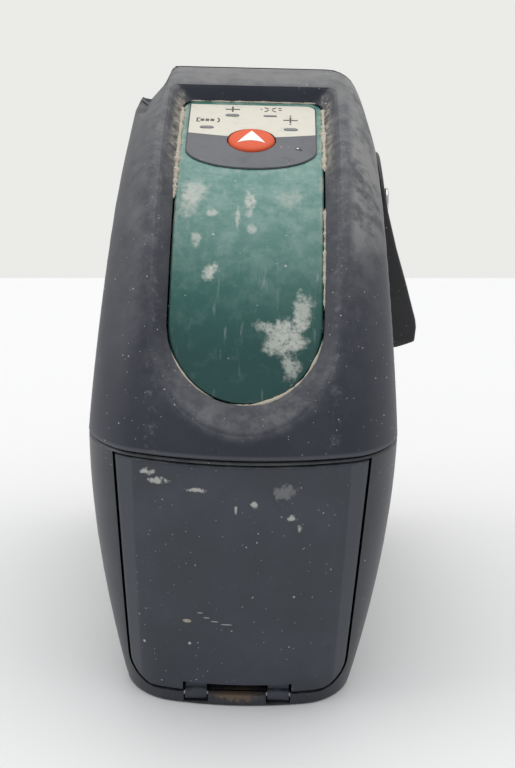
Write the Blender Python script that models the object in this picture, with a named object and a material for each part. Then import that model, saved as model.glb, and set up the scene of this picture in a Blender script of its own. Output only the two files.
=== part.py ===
"""Self-levelling cross line laser level, built as separate bodies.

Lengths are in millimetres until a mesh is made, then metres. The user's side faces -Y, the laser
lines leave towards +Y, the lock lever is on +X and the base stands on z = 0.
"""
import math

import bmesh
import bpy
import numpy as np
from mathutils import Matrix, Vector

# ---- driving dimensions ------------------------------------------------------------------------
HEIGHT = 124.0            # base to roof
SEAM_Z = 58.5             # joint between the lower and the upper housing
SEAM_GAP = 0.4
HALF_SEAM = 33.0          # half width at the seam, at the base and at the roof
HALF_BASE = 24.8
HALF_TOP = 27.6
REAR_PLANE = -55.9        # rear plane of the upper housing; the arc leaves it at the seam
REAR_SEAM, REAR_BASE = -54.1, -52.1
FRONT_SEAM, FRONT_BASE, FRONT_TOP = 55.0, 50.0, 43.5
REAR_LEAN = 0.05          # the rear leans forward above the seam
PANEL_SLOPE = 0.29        # the control panel rises towards the front
PANEL_Z = 121.0           # height of the panel shoulders at y = 18
ARC = 54.0                # radius that joins the rear to the panel
CROWN = 70.0              # plan radius of the rear
CHAMFER_X, CHAMFER = 22.0, 1.0
WALL = 2.3
CUT_SEAM, CUT_TOP = 49.0, 39.5    # plane where the upper housing ends and the window bezel starts
PART_GAP = 0.35

RECESS_DEPTH = 3.5        # green insert below the shoulders
INSERT_T = 2.0
INSERT_HALF = 16.2
INSERT_LOW, INSERT_HIGH = 12.0, 104.0     # along the centre line from the seam
RIDGE_HALF = 19.7
RIDGE_LOW, RIDGE_HIGH = 4.8, 106.6
LABEL_HALF, LABEL_LOW, LABEL_HIGH = 14.5, 72.0, 101.7
BUTTON_S, BUTTON_R = 84.0, 5.3
SLITS = {"battery": (-10.4, 90.0), "cross": (-4.7, 96.3), "slope": (4.1, 96.3),
         "plumb": (8.9, 89.7)}
SLIT_W, SLIT_H = 4.0, 1.3

DOOR_TOP, DOOR_LOW = 57.2, 3.2
DOOR_HALF_TOP, DOOR_HALF_LOW = 26.45, 23.6
DOOR_T = 2.2
HINGE_Y, HINGE_Z = -50.0, 2.1
HINGE_X = 8.95
KNUCKLE_R, PIN_R = 1.4, 0.6
NOTCH_X, NOTCH_Z = 11.8, 5.4      # the lower edge of the door steps up over the hinge
COVE_R = 2.75             # hollow in the rim beside the knuckles that lets the door swing

PIVOT = (0.0, 16.0, 97.0)         # gimbal centre and lock lever axis
LEVER_SEAT, LEVER_SEAT_R = 29.95, 15.5    # flat round seat under the lever hub
LEVER_GAP = 0.5
BALL = 29.0                       # radius kept by the bottom of the pendulum
CELL_R, CELL_L = 7.2, 50.0
CELL_Y, CELL_Z, CELL_PITCH = -34.6, 5.6, 15.2
POST_X, POST_Y = 20.0, (-20.5, 36.0)

COLOURS = {
    "charcoal_plastic": (0.055, 0.06, 0.07), "lower_plastic": (0.05, 0.055, 0.065),
    "door_plastic": (0.06, 0.068, 0.08), "black_gloss": (0.008, 0.008, 0.009),
    "green_plastic": (0.02, 0.15, 0.125), "label_film": (0.78, 0.77, 0.70),
    "red_rubber": (0.62, 0.05, 0.025), "lever_plastic": (0.02, 0.02, 0.023),
    "clear_plastic": (0.85, 0.87, 0.86), "window_glass": (0.25, 0.28, 0.3),
    "rubber": (0.02, 0.02, 0.02), "steel": (0.55, 0.56, 0.58), "brass": (0.72, 0.52, 0.2),
    "copper": (0.72, 0.35, 0.2), "zinc": (0.45, 0.46, 0.48), "aluminium": (0.7, 0.71, 0.73),
    "circuit_board": (0.02, 0.17, 0.07), "white_plastic": (0.8, 0.8, 0.78),
    "cell_wrap": (0.08, 0.08, 0.09), "magnet": (0.6, 0.6, 0.6),
}
METALS = {"steel", "brass", "copper", "zinc", "aluminium", "magnet"}

for old in list(bpy.data.objects):
    bpy.data.objects.remove(old, do_unlink=True)


# ---- shape of the outside ----------------------------------------------------------------------
def corner(a, b, r):
    """Inside both half spaces, with a round of radius r between them."""
    u, v = np.maximum(a + r, 0), np.maximum(b + r, 0)
    return np.minimum(np.maximum(a, b), -r) + np.sqrt(u * u + v * v)


def half_width(z):
    low = HALF_BASE + (HALF_SEAM - HALF_BASE) * np.sin(np.clip(z / SEAM_Z, 0, 1) * np.pi / 2) ** 0.9
    t = np.clip((z - SEAM_Z) / (HEIGHT - SEAM_Z), 0, 1)
    return np.where(z < SEAM_Z, low, HALF_SEAM + (HALF_TOP - HALF_SEAM) * t ** 1.1)


def shoulder(y, z):
    """Side profile of the rear, the arc and the plane of the panel shoulders."""
    rear = -(y - (REAR_PLANE + (z - SEAM_Z) * REAR_LEAN))
    low = -(y - (REAR_SEAM + (REAR_BASE - REAR_SEAM) * np.clip((SEAM_Z - z) / SEAM_Z, 0, 1.2)))
    top = (z - (PANEL_Z + (y - 18) * PANEL_SLOPE)) / math.hypot(1, PANEL_SLOPE)
    return np.where(z < SEAM_Z, low, corner(rear, top, ARC))


def bend(v, width=0.7):
    """Zero below 0 and v above it, with a soft turn."""
    return width * np.log1p(np.exp(np.clip(v / width, -20, 20)))


def roof_drop(x):
    """Fall of the roof's sides: a step and a steep flank on the left, a shallow one on the right."""
    left = 3.0 * bend(-x - 20.2, 0.3) - 1.85 * bend(-x - 21.5, 0.3)
    return np.where(x < 0, left, 0.5 * bend(x - 19.8) + 1.6 * bend(x - 24.0))


def hull(x, y, z, roof=True):
    """Negative inside the outer skin."""
    ax = np.abs(x)
    phi = np.arctan2(np.maximum(z - SEAM_Z, 0), -(y - 10))
    c2 = np.cos(np.clip(phi, 0, np.pi / 2)) ** 2
    side = c2 * x * x / (2 * CROWN) + (1 - c2) * bend(ax - CHAMFER_X) * CHAMFER
    body = shoulder(y, z) + side
    if roof:
        body = corner(body, z - HEIGHT + roof_drop(x), 1.2)
    half = half_width(z)
    body = corner(body, ax - half, 10 - 7 * (1 - c2))
    rise = np.clip((z - SEAM_Z) / (HEIGHT - SEAM_Z), 0, 1)
    front = np.where(z < SEAM_Z, y - (FRONT_SEAM + (FRONT_BASE - FRONT_SEAM) * (SEAM_Z - z) / SEAM_Z),
                     (y - (FRONT_SEAM + (FRONT_TOP - FRONT_SEAM) * rise)) * 0.97)
    return np.maximum(corner(body, front, 3.0), -z)


def march(start, along, level=0.0, reach=140.0, roof=True):
    """Points where rays that start inside meet the skin moved in or out by level."""
    start, along = np.broadcast_arrays(np.asarray(start, float), np.asarray(along, float))
    along = along / np.linalg.norm(along, axis=-1, keepdims=True)
    near, far = np.zeros(along.shape[:-1]), np.full(along.shape[:-1], reach)
    for _ in range(34):
        mid = (near + far) / 2
        p = start + along * mid[..., None]
        inside = hull(p[..., 0], p[..., 1], p[..., 2], roof) < level
        near, far = np.where(inside, mid, near), np.where(inside, far, mid)
    return start + along * near[..., None]


def centre_line():
    """Arc length, position and outward normal along the middle of the rear and the panel."""
    phi = np.radians(np.linspace(0, 106, 425))
    along = np.stack([-np.cos(phi), np.sin(phi)], -1)
    near, far = np.zeros(len(phi)), np.full(len(phi), 130.0)
    for _ in range(40):
        mid = (near + far) / 2
        p = np.array([5.0, SEAM_Z]) + along * mid[:, None]
        inside = shoulder(p[:, 0], p[:, 1]) < 0
        near, far = np.where(inside, mid, near), np.where(inside, far, mid)
    p = np.array([5.0, SEAM_Z]) + along * near[:, None]
    s = np.concatenate([[0], np.cumsum(np.linalg.norm(np.diff(p, axis=0), axis=1))])
    t = np.gradient(p, axis=0)
    t /= np.linalg.norm(t, axis=1)[:, None]
    return s, p, np.stack([-t[:, 1], t[:, 0]], -1)


LINE_S, LINE_P, LINE_N = centre_line()


def panel_point(x, s, depth, roof=False):
    """Point above the centre line at s, sideways at x, sunk below the shoulders by depth."""
    x, s, depth = np.broadcast_arrays(*(np.asarray(v, float) for v in (x, s, depth)))
    p = [np.interp(s, LINE_S, LINE_P[:, k]) for k in (0, 1)]
    n = [np.interp(s, LINE_S, LINE_N[:, k]) for k in (0, 1)]
    start = np.stack([x, p[0] - 12 * n[0], p[1] - 12 * n[1]], -1)
    along = np.stack([0 * x, n[0], n[1]], -1)
    top = march(start, along, 0.0, 24.0, roof)
    return top - along * depth[..., None]


PANEL_N = Vector((0, -PANEL_SLOPE, 1)).normalized()
PANEL_U = Vector((0, 1, PANEL_SLOPE)).normalized()


def panel_matrix(x, s, depth):
    """Frame on the flat panel: X sideways, Y up the panel, Z out of it."""
    m = Matrix((Vector((1, 0, 0)), PANEL_U, PANEL_N)).transposed().to_4x4()
    m.translation = Vector(panel_point(x, s, depth))
    return m


# ---- mesh helpers ------------------------------------------------------------------------------
def material(name, slot):
    mat = bpy.data.materials.new(name + "_" + slot)
    mat.use_nodes = True
    bsdf = mat.node_tree.nodes["Principled BSDF"]
    bsdf.inputs["Base Color"].default_value = (*COLOURS[slot], 1)
    bsdf.inputs["Metallic"].default_value = 1.0 if slot in METALS else 0.0
    bsdf.inputs["Roughness"].default_value = 0.3 if slot in METALS or "gloss" in slot else 0.55
    return mat


def from_bmesh(name, bm, slot, smooth=35):
    bmesh.ops.remove_doubles(bm, verts=bm.verts, dist=1e-5)
    bmesh.ops.recalc_face_normals(bm, faces=bm.faces)
    bmesh.ops.scale(bm, vec=(0.001,) * 3, verts=bm.verts)
    mesh = bpy.data.meshes.new(name)
    bm.to_mesh(mesh)
    bm.free()
    ob = bpy.data.objects.new(name, mesh)
    bpy.context.scene.collection.objects.link(ob)
    mesh.materials.append(material(name, slot))
    if smooth:
        mesh.shade_smooth()
        mesh.set_sharp_from_angle(angle=math.radians(smooth))
    return ob


def bm_rings(rings, cap_start=True, cap_end=True, wrap=False):
    """Closed skin through loops of equal length; the ends are capped, or joined when wrap is set."""
    bm = bmesh.new()
    rows = [[bm.verts.new(p) for p in ring] for ring in rings]
    n = len(rows[0])
    pairs = list(zip(rows, rows[1:])) + ([(rows[-1], rows[0])] if wrap else [])
    for a, b in pairs:
        for i in range(n):
            bm.faces.new((a[i], a[(i + 1) % n], b[(i + 1) % n], b[i]))
    if not wrap:
        for row, cap in ((rows[0], cap_start), (rows[-1], cap_end)):
            if cap:
                mid = bm.verts.new(sum((v.co for v in row), Vector()) / n)
                for i in range(n):
                    bm.faces.new((row[i], row[(i + 1) % n], mid))
    return bm


def bm_box(lo, hi, turn=None, bevel=0.0):
    bm = bmesh.new()
    bmesh.ops.create_cube(bm, size=1)
    size = [h - l for l, h in zip(lo, hi)]
    bmesh.ops.scale(bm, vec=size, verts=bm.verts)
    bmesh.ops.translate(bm, vec=[(l + h) / 2 for l, h in zip(lo, hi)], verts=bm.verts)
    if bevel:
        bmesh.ops.bevel(bm, geom=bm.edges[:], offset=bevel, segments=1, affect="EDGES")
    if turn is not None:
        bmesh.ops.transform(bm, matrix=turn, verts=bm.verts)
    return bm


def bm_turned(profile, n=20, turn=None):
    """Body turned about local Z from (radius, height) points; radius 0 closes on the axis."""
    closed = profile[0][0] > 0
    rings = [[(r * math.cos(2 * math.pi * (i + .5) / n), r * math.sin(2 * math.pi * (i + .5) / n), h)
              for i in range(n)] for r, h in profile if r > 0]
    bm = bm_rings(rings, wrap=closed)
    if not closed:
        heights = (profile[0][1], profile[-1][1])
        centres = [v for v in bm.verts if len(v.link_edges) == n and abs(v.co.x) + abs(v.co.y) < 1e-6]
        for v in centres:
            v.co.z = min(heights, key=lambda h: abs(h - v.co.z))
    if turn is not None:
        bmesh.ops.transform(bm, matrix=turn, verts=bm.verts)
    return bm


def rod(r, a, b, n=20, bore=0.0):
    """Round bar from a to b, or a tube when bore is set."""
    a, b = Vector(a), Vector(b)
    turn = Matrix.Translation(a) @ (b - a).to_track_quat("Z", "Y").to_matrix().to_4x4()
    length = (b - a).length
    if bore:
        return bm_turned([(bore, 0), (r, 0), (r, length), (bore, length)], n, turn)
    return bm_turned([(0, 0), (r, 0), (r, length), (0, length)], n, turn)


def bm_plate(loop, top, bottom, shrink, inner=None):
    """Plate between two mapped skins over a 2-D outline, with an optional 2-D hole outline."""
    loop = np.asarray(loop, float)
    centre = loop.mean(0)
    target = centre if inner is None else np.asarray(inner, float)
    skins = [[surface(*(loop * k + target * (1 - k)).T) for k in shrink] for surface in (top, bottom)]
    rings = skins[0][::-1] + skins[1]
    if inner is None:
        return bm_rings(rings)
    return bm_rings(rings, wrap=True)


def triangulate(mesh, merge=False):
    bm = bmesh.new()
    bm.from_mesh(mesh)
    bmesh.ops.remove_doubles(bm, verts=bm.verts, dist=1e-7)
    bmesh.ops.dissolve_degenerate(bm, edges=bm.edges, dist=1e-7)
    if merge:
        bmesh.ops.dissolve_limit(bm, angle_limit=math.radians(0.02), verts=bm.verts, edges=bm.edges)
    bmesh.ops.triangulate(bm, faces=bm.faces)
    bm.to_mesh(mesh)
    bm.free()


def combine(ob, tools, operation):
    """Apply solid tools to a body one after another."""
    triangulate(ob.data)
    for k, bm in enumerate(tools):
        tool = from_bmesh(f"{ob.name}_tool{k}", bm, "steel", 0)
        triangulate(tool.data)
        mod = ob.modifiers.new("m", "BOOLEAN")
        mod.operation, mod.solver, mod.object = operation, "EXACT", tool
        deps = bpy.context.evaluated_depsgraph_get()
        mesh = bpy.data.meshes.new_from_object(ob.evaluated_get(deps))
        ob.modifiers.clear()
        old, ob.data = ob.data, mesh
        name = old.name
        bpy.data.meshes.remove(old)
        mesh.name = name
        bpy.data.objects.remove(tool, do_unlink=True)
        triangulate(mesh)
    triangulate(ob.data, True)
    while len(ob.data.materials) > 1:
        ob.data.materials.pop()
    ob.data.shade_smooth()
    ob.data.set_sharp_from_angle(angle=math.radians(35))
    return ob


def pivot(ob, point):
    """Put a moving body's origin on its joint axis."""
    point = Vector(point) * 0.001
    ob.data.transform(Matrix.Translation(-point))
    ob.location = point
    return ob


def rounded(x0, y0, x1, y1, r, n=5):
    """Rounded rectangle; r is one radius or four, anticlockwise from the lower left."""
    radii = [r] * 4 if not isinstance(r, (list, tuple)) else r
    pts = []
    for (cx, cy), a0, rr in zip(((x0, y0), (x1, y0), (x1, y1), (x0, y1)), (180, 270, 0, 90), radii):
        mx, my = cx + (rr if cx == x0 else -rr), cy + (rr if cy == y0 else -rr)
        for i in range(n + 1):
            a = math.radians(a0 + 90 * i / n)
            pts.append((mx + rr * math.cos(a), my + rr * math.sin(a)))
    return pts


def spread(loop, n):
    """The same outline with n evenly spaced points, keeping its start."""
    p = np.asarray(list(loop) + [loop[0]], float)
    d = np.concatenate([[0], np.cumsum(np.linalg.norm(np.diff(p, axis=0), axis=1))])
    t = np.linspace(0, d[-1], n, endpoint=False)
    return np.stack([np.interp(t, d, p[:, 0]), np.interp(t, d, p[:, 1])], -1)


# ---- upper housing and window bezel ------------------------------------------------------------
N_SEAM, N_FRONT = 44, 20
CENTRE = np.array([0.0, 12.0, SEAM_Z])


def front_edge(level, shift=0.0, n=N_FRONT):
    """Edge of the cut plane on the skin, from the right over the roof to the left."""
    start = np.array([0, CUT_SEAM + shift, SEAM_Z])
    lean = (CUT_TOP - CUT_SEAM) / (HEIGHT - SEAM_Z)
    a = np.radians(np.linspace(90, -90, n + 1))
    along = np.stack([np.sin(a), lean * np.cos(a), np.cos(a)], -1)
    return march(start, along, level)


def seam_edge(level, end, n=N_SEAM, rear=True):
    """Skin on the seam plane between the corner at end and its mirror image."""
    a = abs(math.atan2(end[0], -(end[1] - CENTRE[1])))
    theta = np.linspace(-a, a if rear else a - 2 * np.pi, n + 1)
    along = np.stack([np.sin(theta), -np.cos(theta), 0 * theta], -1)
    return march(CENTRE, along, level)


def even(path, n, turn_weight=20.0):
    """n + 1 points along an open path, closer together where it bends."""
    step = np.diff(path, axis=0)
    heading = np.unwrap(np.arctan2(step[:, 1], step[:, 0]))
    bend = np.abs(np.diff(heading, prepend=heading[0])) / 2
    bend += np.abs(np.diff(heading, append=heading[-1])) / 2
    d = np.concatenate([[0], np.cumsum(np.linalg.norm(step, axis=1) + turn_weight * bend)])
    t = np.linspace(0, d[-1], n + 1)
    return np.stack([np.interp(t, d, path[:, 0]), np.interp(t, d, path[:, 1])], -1)


def capsule(half, low, high, r_top, low_axis, n_side, n_top):
    """Outline with a round lower end: up the left side last, across the top, down the right."""
    a = np.linspace(0, np.pi, 25)
    arc = np.stack([-half * np.cos(a), low + low_axis - low_axis * np.sin(a)], -1)
    k = np.radians(np.linspace(0, 45, 4))
    right = np.stack([half - r_top + r_top * np.cos(k), high - r_top + r_top * np.sin(k)], -1)
    left = right[::-1] * (-1, 1)
    side = even(np.concatenate([left, arc, right]), n_side)
    k = np.radians(np.linspace(45, 90, 4))
    turn = np.stack([half - r_top + r_top * np.cos(k), high - r_top + r_top * np.sin(k)], -1)
    top = even(np.concatenate([turn, turn[::-1] * (-1, 1)]), n_top)
    return np.concatenate([side[:-1], top[:-1]])


def upper_outer_loop(level):
    front = front_edge(level)
    seam = seam_edge(level, front[0])
    return np.concatenate([seam[:-1], front[:-1]])


def ridge_loop(half, low, high):
    return capsule(half, low, high, 3.5, half * 1.13, N_SEAM, N_FRONT)


def skin_between(inner, outer, level, blend):
    """Rings on the skin between two closed loops, seen from the centre."""
    a = inner - CENTRE
    b = outer - CENTRE
    a = a / np.linalg.norm(a, axis=1)[:, None]
    b = b / np.linalg.norm(b, axis=1)[:, None]
    return [march(CENTRE, a * (1 - t) + b * t, level) for t in blend]


def upper_housing():
    ridge2 = ridge_loop(RIDGE_HALF, RIDGE_LOW, RIDGE_HIGH)
    ridge = panel_point(ridge2[:, 0], ridge2[:, 1], 0.0, roof=True)
    mouth2 = ridge_loop(INSERT_HALF + PART_GAP, INSERT_LOW - PART_GAP, INSERT_HIGH + PART_GAP)
    under2 = mouth2 * 0.35 + ridge2 * 0.65
    mouth = panel_point(mouth2[:, 0], mouth2[:, 1], RECESS_DEPTH)
    mouth_low = panel_point(mouth2[:, 0], mouth2[:, 1], RECESS_DEPTH + 2.6)
    under = panel_point(under2[:, 0], under2[:, 1], RECESS_DEPTH + 1.4)
    steps = (0.0, 0.08, 0.18, 0.3, 0.45, 0.65, 0.85)
    outer = upper_outer_loop(0.0)
    inner = upper_outer_loop(-WALL)
    inner[:, 2] = np.maximum(inner[:, 2], SEAM_Z)
    skin = skin_between(ridge, outer, 0.0, steps[1:]) + [outer]
    ridge_in = panel_point(ridge2[:, 0], ridge2[:, 1], WALL + 0.4, roof=True)
    lining = skin_between(ridge_in, inner, -WALL, steps[2::2]) + [inner]
    rings = [mouth_low, mouth, ridge] + skin + lining[::-1] + [under]
    ob = from_bmesh("upper_housing", bm_rings(rings, wrap=True), "charcoal_plastic")
    bore = rod(4.6, (20, PIVOT[1], PIVOT[2]), (45, PIVOT[1], PIVOT[2]))
    seat = rod(LEVER_SEAT_R, (LEVER_SEAT, PIVOT[1], PIVOT[2]), (45, PIVOT[1], PIVOT[2]), 40)
    combine(ob, [seat], "DIFFERENCE")
    return combine(ob, [bore], "DIFFERENCE")


WINDOW = (-17.0, 68.0, 17.0, 111.0)


def front_y(z):
    return FRONT_SEAM + (FRONT_TOP - FRONT_SEAM) * (z - SEAM_Z) / (HEIGHT - SEAM_Z)


def on_front(depth):
    return lambda x, z: np.stack([x, front_y(z) - depth, z], -1)


def window_bezel():
    middle = np.array([0.0, 30.0, 84.0])

    def outer_loop(level):
        edge = front_edge(level, 2 * PART_GAP, 34)
        seam = seam_edge(level, edge[-1], 26, rear=False)
        return np.concatenate([edge[:-1], seam[:-1]])

    loops = []
    for level in (0.0, -WALL):
        outer = outer_loop(level)
        outer[:, 2] = np.maximum(outer[:, 2], SEAM_Z)
        angle = np.arctan2(outer[:, 2] - 86, outer[:, 0])
        hole = spread(rounded(*WINDOW, 5.0, 8), 240)
        ha = np.unwrap(np.arctan2(hole[:, 1] - 86, hole[:, 0]))
        order = np.argsort(np.mod(ha, 2 * np.pi))
        hole, ha = hole[order], np.mod(ha, 2 * np.pi)[order]
        ext = np.concatenate([ha - 2 * np.pi, ha, ha + 2 * np.pi])
        hx, hz = np.tile(hole[:, 0], 3), np.tile(hole[:, 1], 3)
        a = np.mod(angle, 2 * np.pi)
        opening = on_front(0 if level == 0 else WALL)(np.interp(a, ext, hx), np.interp(a, ext, hz))
        d0, d1 = opening - middle, outer - middle
        rings = [march(middle, d0 * (1 - t) + d1 * t, level) for t in (0.25, 0.5, 0.7, 0.82, 0.9)]
        loops.append([opening] + rings + [outer])
    return from_bmesh("window_bezel", bm_rings(loops[0] + loops[1][::-1], wrap=True), "black_gloss")


# ---- lower housing and battery door ------------------------------------------------------------
def lower_ring(z, level, n=56):
    theta = np.linspace(0, 2 * np.pi, n, endpoint=False)
    along = np.stack([np.sin(theta), -np.cos(theta), 0 * theta], -1)
    return march(np.stack([0 * theta, 0 * theta + 5.0, 0 * theta + z], -1), along, level)


def door_outline(grow=0.0):
    top, low = DOOR_TOP + grow, DOOR_LOW - grow
    r = 6.0 + grow
    pts = []
    for cx, a0 in ((-1, 180), (1, 270)):
        for i in range(7):
            a = math.radians(a0 + 15 * i)
            pts.append((cx * (DOOR_HALF_LOW + grow - r) + r * math.cos(a), low + r + r * math.sin(a)))
    return pts + [(DOOR_HALF_TOP + grow, top), (-DOOR_HALF_TOP - grow, top)]


def rear_skin(depth):
    def at(x, z):
        start = np.stack([x, 0 * x - 20, z], -1)
        p = march(start, np.array([0.0, -1.0, 0.0]))
        return p + np.array([0.0, depth, 0.0])
    return at


def lower_housing():
    outside = [lower_ring(1.0, -0.5) * (1, 1, 0)]
    outside += [lower_ring(z, 0.0) for z in (0.5, 5.0, 12, 22, 36, SEAM_Z - SEAM_GAP)]
    inside = [lower_ring(z, -WALL) for z in (2.6, 7.0, 16, 32, SEAM_Z - SEAM_GAP)]
    ob = from_bmesh("lower_housing", bm_rings(outside + inside[::-1]), "lower_plastic")
    boss = [rod(4.3, (sx * POST_X, y, 1.0), (sx * POST_X, y, 56.4)) for sx in (-1, 1) for y in POST_Y]
    boss.append(rod(9.0, (0, 12, 1.0), (0, 12, 10.5), 32))
    boss.append(bm_box((-6.0, -51.3, 0.8), (6.0, -47.5, 4.7)))
    combine(ob, boss, "UNION")
    opening = bm_rings([[(x, y, z) for x, z in spread(door_outline(0.5), 48)] for y in (-70, -38.4)])
    cuts = [opening, rod(6.1, (0, 12, -2), (0, 12, 14), 32)]
    for sx in (-1, 1):
        for y in POST_Y:
            cuts += [rod(3.2, (sx * POST_X, y, -2), (sx * POST_X, y, 44)),
                     rod(1.7, (sx * POST_X, y, 43), (sx * POST_X, y, 60))]
        cuts.append(bm_box((sx * HINGE_X - 2.65, -58, 0.45), (sx * HINGE_X + 2.65, -48.0, 5)))
    cuts.append(rod(PIN_R + 0.06, (-12.3, HINGE_Y, HINGE_Z), (12.3, HINGE_Y, HINGE_Z), 16))
    for sx in (-1, 1):
        cove = [(sx * 12.9 + dx, HINGE_Y - 3.2, HINGE_Z + 1.6) for dx in (-1.43, 1.43)]
        cuts.append(rod(COVE_R, *cove, 24))
    return combine(ob, cuts, "DIFFERENCE")


def battery_door():
    loop = spread(door_outline(), 48)
    soft = (0.0, 0.45, 0.8, 0.93, 1.0)
    bm = bm_plate(loop, rear_skin(0.0), rear_skin(DOOR_T), soft[:0:-1])
    ob = from_bmesh("battery_door", bm, "door_plastic")
    knuckles, bores = [], []
    for sx in (-1, 1):
        x0, x1 = sx * HINGE_X - 2.35, sx * HINGE_X + 2.35
        knuckles += [rod(KNUCKLE_R, (x0, HINGE_Y, HINGE_Z), (x1, HINGE_Y, HINGE_Z), 20),
                     bm_box((x0 + 0.06, HINGE_Y - 0.5, HINGE_Z), (x1 - 0.06, HINGE_Y + 0.7, NOTCH_Z + 1.4))]
        bores.append(rod(PIN_R + 0.08, (x0 - 1, HINGE_Y, HINGE_Z), (x1 + 1, HINGE_Y, HINGE_Z), 16))
    catch = bm_box((-6, -52.8, 54.6), (6, -50.0, 56.6))
    combine(ob, [bm_box((-NOTCH_X, -60, 0), (NOTCH_X, -40, NOTCH_Z))], "DIFFERENCE")
    combine(ob, knuckles + [catch], "UNION")
    combine(ob, bores, "DIFFERENCE")
    return pivot(ob, (0, HINGE_Y, HINGE_Z))


# ---- control panel -----------------------------------------------------------------------------
def slit_cutters(grow):
    out = []
    for x, s in SLITS.values():
        turn = panel_matrix(x, s, RECESS_DEPTH)
        out.append(bm_box((-SLIT_W / 2 - grow, -SLIT_H / 2 - grow, -4),
                          (SLIT_W / 2 + grow, SLIT_H / 2 + grow, 3), turn))
    return out


def button_cutter(r):
    m = panel_matrix(0, BUTTON_S, RECESS_DEPTH)
    return bm_turned([(0, -5), (r, -5), (r, 4), (0, 4)], 32, m)


def top_insert():
    r, axis, bm = 3.6, INSERT_HALF * 1.13, bmesh.new()

    def half_at(value):
        t = np.clip((INSERT_LOW + axis - value) / axis, 0, 1)
        u = np.clip((value - INSERT_HIGH + r) / r, 0, 1)
        return INSERT_HALF * math.sqrt(max(1 - t * t, 0.0)) - r * (1 - math.sqrt(max(1 - u * u, 0)))

    cuts = sorted(set(np.round(np.concatenate([
        INSERT_LOW + axis * (1 - np.cos(np.linspace(0.16, np.pi / 2, 9))),
        np.linspace(INSERT_LOW + axis, INSERT_HIGH - r, 20),
        INSERT_HIGH - r * (1 - np.sin(np.linspace(0, np.pi / 2, 5)))]), 4)))
    fr = np.array([-1, -0.8, -0.5, 0, 0.5, 0.8, 1])
    skins = []
    for depth in (RECESS_DEPTH, RECESS_DEPTH + INSERT_T):
        skins.append([[bm.verts.new(p) for p in panel_point(fr * half_at(v), v, depth)] for v in cuts])
    top, bottom = skins
    for grid, flip in ((top, False), (bottom, True)):
        for a, b in zip(grid, grid[1:]):
            for i in range(len(fr) - 1):
                quad = (a[i], a[i + 1], b[i + 1], b[i])
                bm.faces.new(quad[::-1] if flip else quad)
    edge_t = top[0] + [r[-1] for r in top[1:]] + top[-1][-2::-1] + [r[0] for r in top[-2:0:-1]]
    edge_b = bottom[0] + [r[-1] for r in bottom[1:]] + bottom[-1][-2::-1] \
        + [r[0] for r in bottom[-2:0:-1]]
    n = len(edge_t)
    for i in range(n):
        bm.faces.new((edge_t[i], edge_b[i], edge_b[(i + 1) % n], edge_t[(i + 1) % n]))
    ob = from_bmesh("top_insert", bm, "green_plastic")
    return combine(ob, [button_cutter(BUTTON_R + 0.3)] + slit_cutters(0.2), "DIFFERENCE")


def control_label():
    a = np.linspace(-1, 1, 13)
    lower = np.stack([a * LABEL_HALF, LABEL_LOW + 5.0 * np.abs(a) ** 2.6], -1)
    upper = np.array([(LABEL_HALF, LABEL_HIGH - 3), (LABEL_HALF - 0.9, LABEL_HIGH - 0.9),
                      (LABEL_HALF - 3, LABEL_HIGH), (0, LABEL_HIGH), (1 - LABEL_HALF, LABEL_HIGH),
                      (-LABEL_HALF, LABEL_HIGH - 1)])
    loop = spread(np.concatenate([lower, upper]), 56)
    top, under = (lambda x, s, d=d: panel_point(x, s, d) for d in (RECESS_DEPTH - 0.5, RECESS_DEPTH - 0.15))
    ob = from_bmesh("control_label", bm_plate(loop, top, under, (1.0, 0.75, 0.5, 0.25)), "label_film", 0)
    return combine(ob, [button_cutter(BUTTON_R + 0.3)] + slit_cutters(0.2), "DIFFERENCE")


def panel_parts():
    m = panel_matrix(0, BUTTON_S, RECESS_DEPTH)
    face = [(0, 1.05), (2.6, 1.02), (BUTTON_R - 0.7, 0.85), (BUTTON_R, 0.35), (BUTTON_R, -2.35),
            (BUTTON_R + 1.2, -2.35), (BUTTON_R + 1.2, -3.0), (2.0, -3.0), (2.0, -4.5), (0, -4.5)]
    button = from_bmesh("mode_button", bm_turned(face, 32, m), "red_rubber")
    pivot(button, m.translation)
    body = bm_box((-3, -3, -6.3), (3, 3, -5.6), m)
    switch = from_bmesh("mode_switch", body, "steel", 0)
    combine(switch, [bm_turned([(0, -5.8), (1.4, -5.8), (1.4, -5.2), (0, -5.2)], 20, m)], "UNION")
    guide = from_bmesh("light_guide", bm_box((-13.0, 3.6, -4.9),
                                             (12.0, 15.0, -3.9), m), "clear_plastic", 0)
    pips = []
    for x, s in SLITS.values():
        pips.append(bm_box((-SLIT_W / 2, -SLIT_H / 2, -4.2), (SLIT_W / 2, SLIT_H / 2, 0.5),
                           panel_matrix(x, s, RECESS_DEPTH)))
    combine(guide, pips, "UNION")
    for key, (x, s) in SLITS.items():
        spot = panel_matrix(x, s, RECESS_DEPTH)
        from_bmesh("led_" + key, bm_box((-1.6, -0.8, -6.3), (1.6, 0.8, -5.3), spot), "white_plastic", 0)
    board = from_bmesh("main_board", bm_box((-15, -14, -7.6), (15, 15.5, -6.4), m, 0.0),
                       "circuit_board", 0)
    return board


# ---- front window ------------------------------------------------------------------------------
def window_parts():
    x0, z0, x1, z1 = WINDOW
    g = 0.3
    loop = rounded(x0 + g, z0 + g, x1 - g, z1 - g, 6.5, 6)
    rings = [on_front(d)(*np.asarray(loop).T) for d in (0.6, 2.2)]
    from_bmesh("window_pane", bm_rings(rings), "window_glass")
    out, ins = rounded(x0 - 1.8, z0 - 1.8, x1 + 1.8, z1 + 1.8, 6.8, 6), rounded(
        x0 + 1.6, z0 + 1.6, x1 - 1.6, z1 - 1.6, 3.4, 6)
    rings = [on_front(d)(*np.asarray(p).T) for p, d in
             ((out, WALL + 0.3), (out, WALL + 1.5), (ins, WALL + 1.5), (ins, WALL + 0.3))]
    from_bmesh("window_gasket", bm_rings(rings, wrap=True), "rubber")


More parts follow.
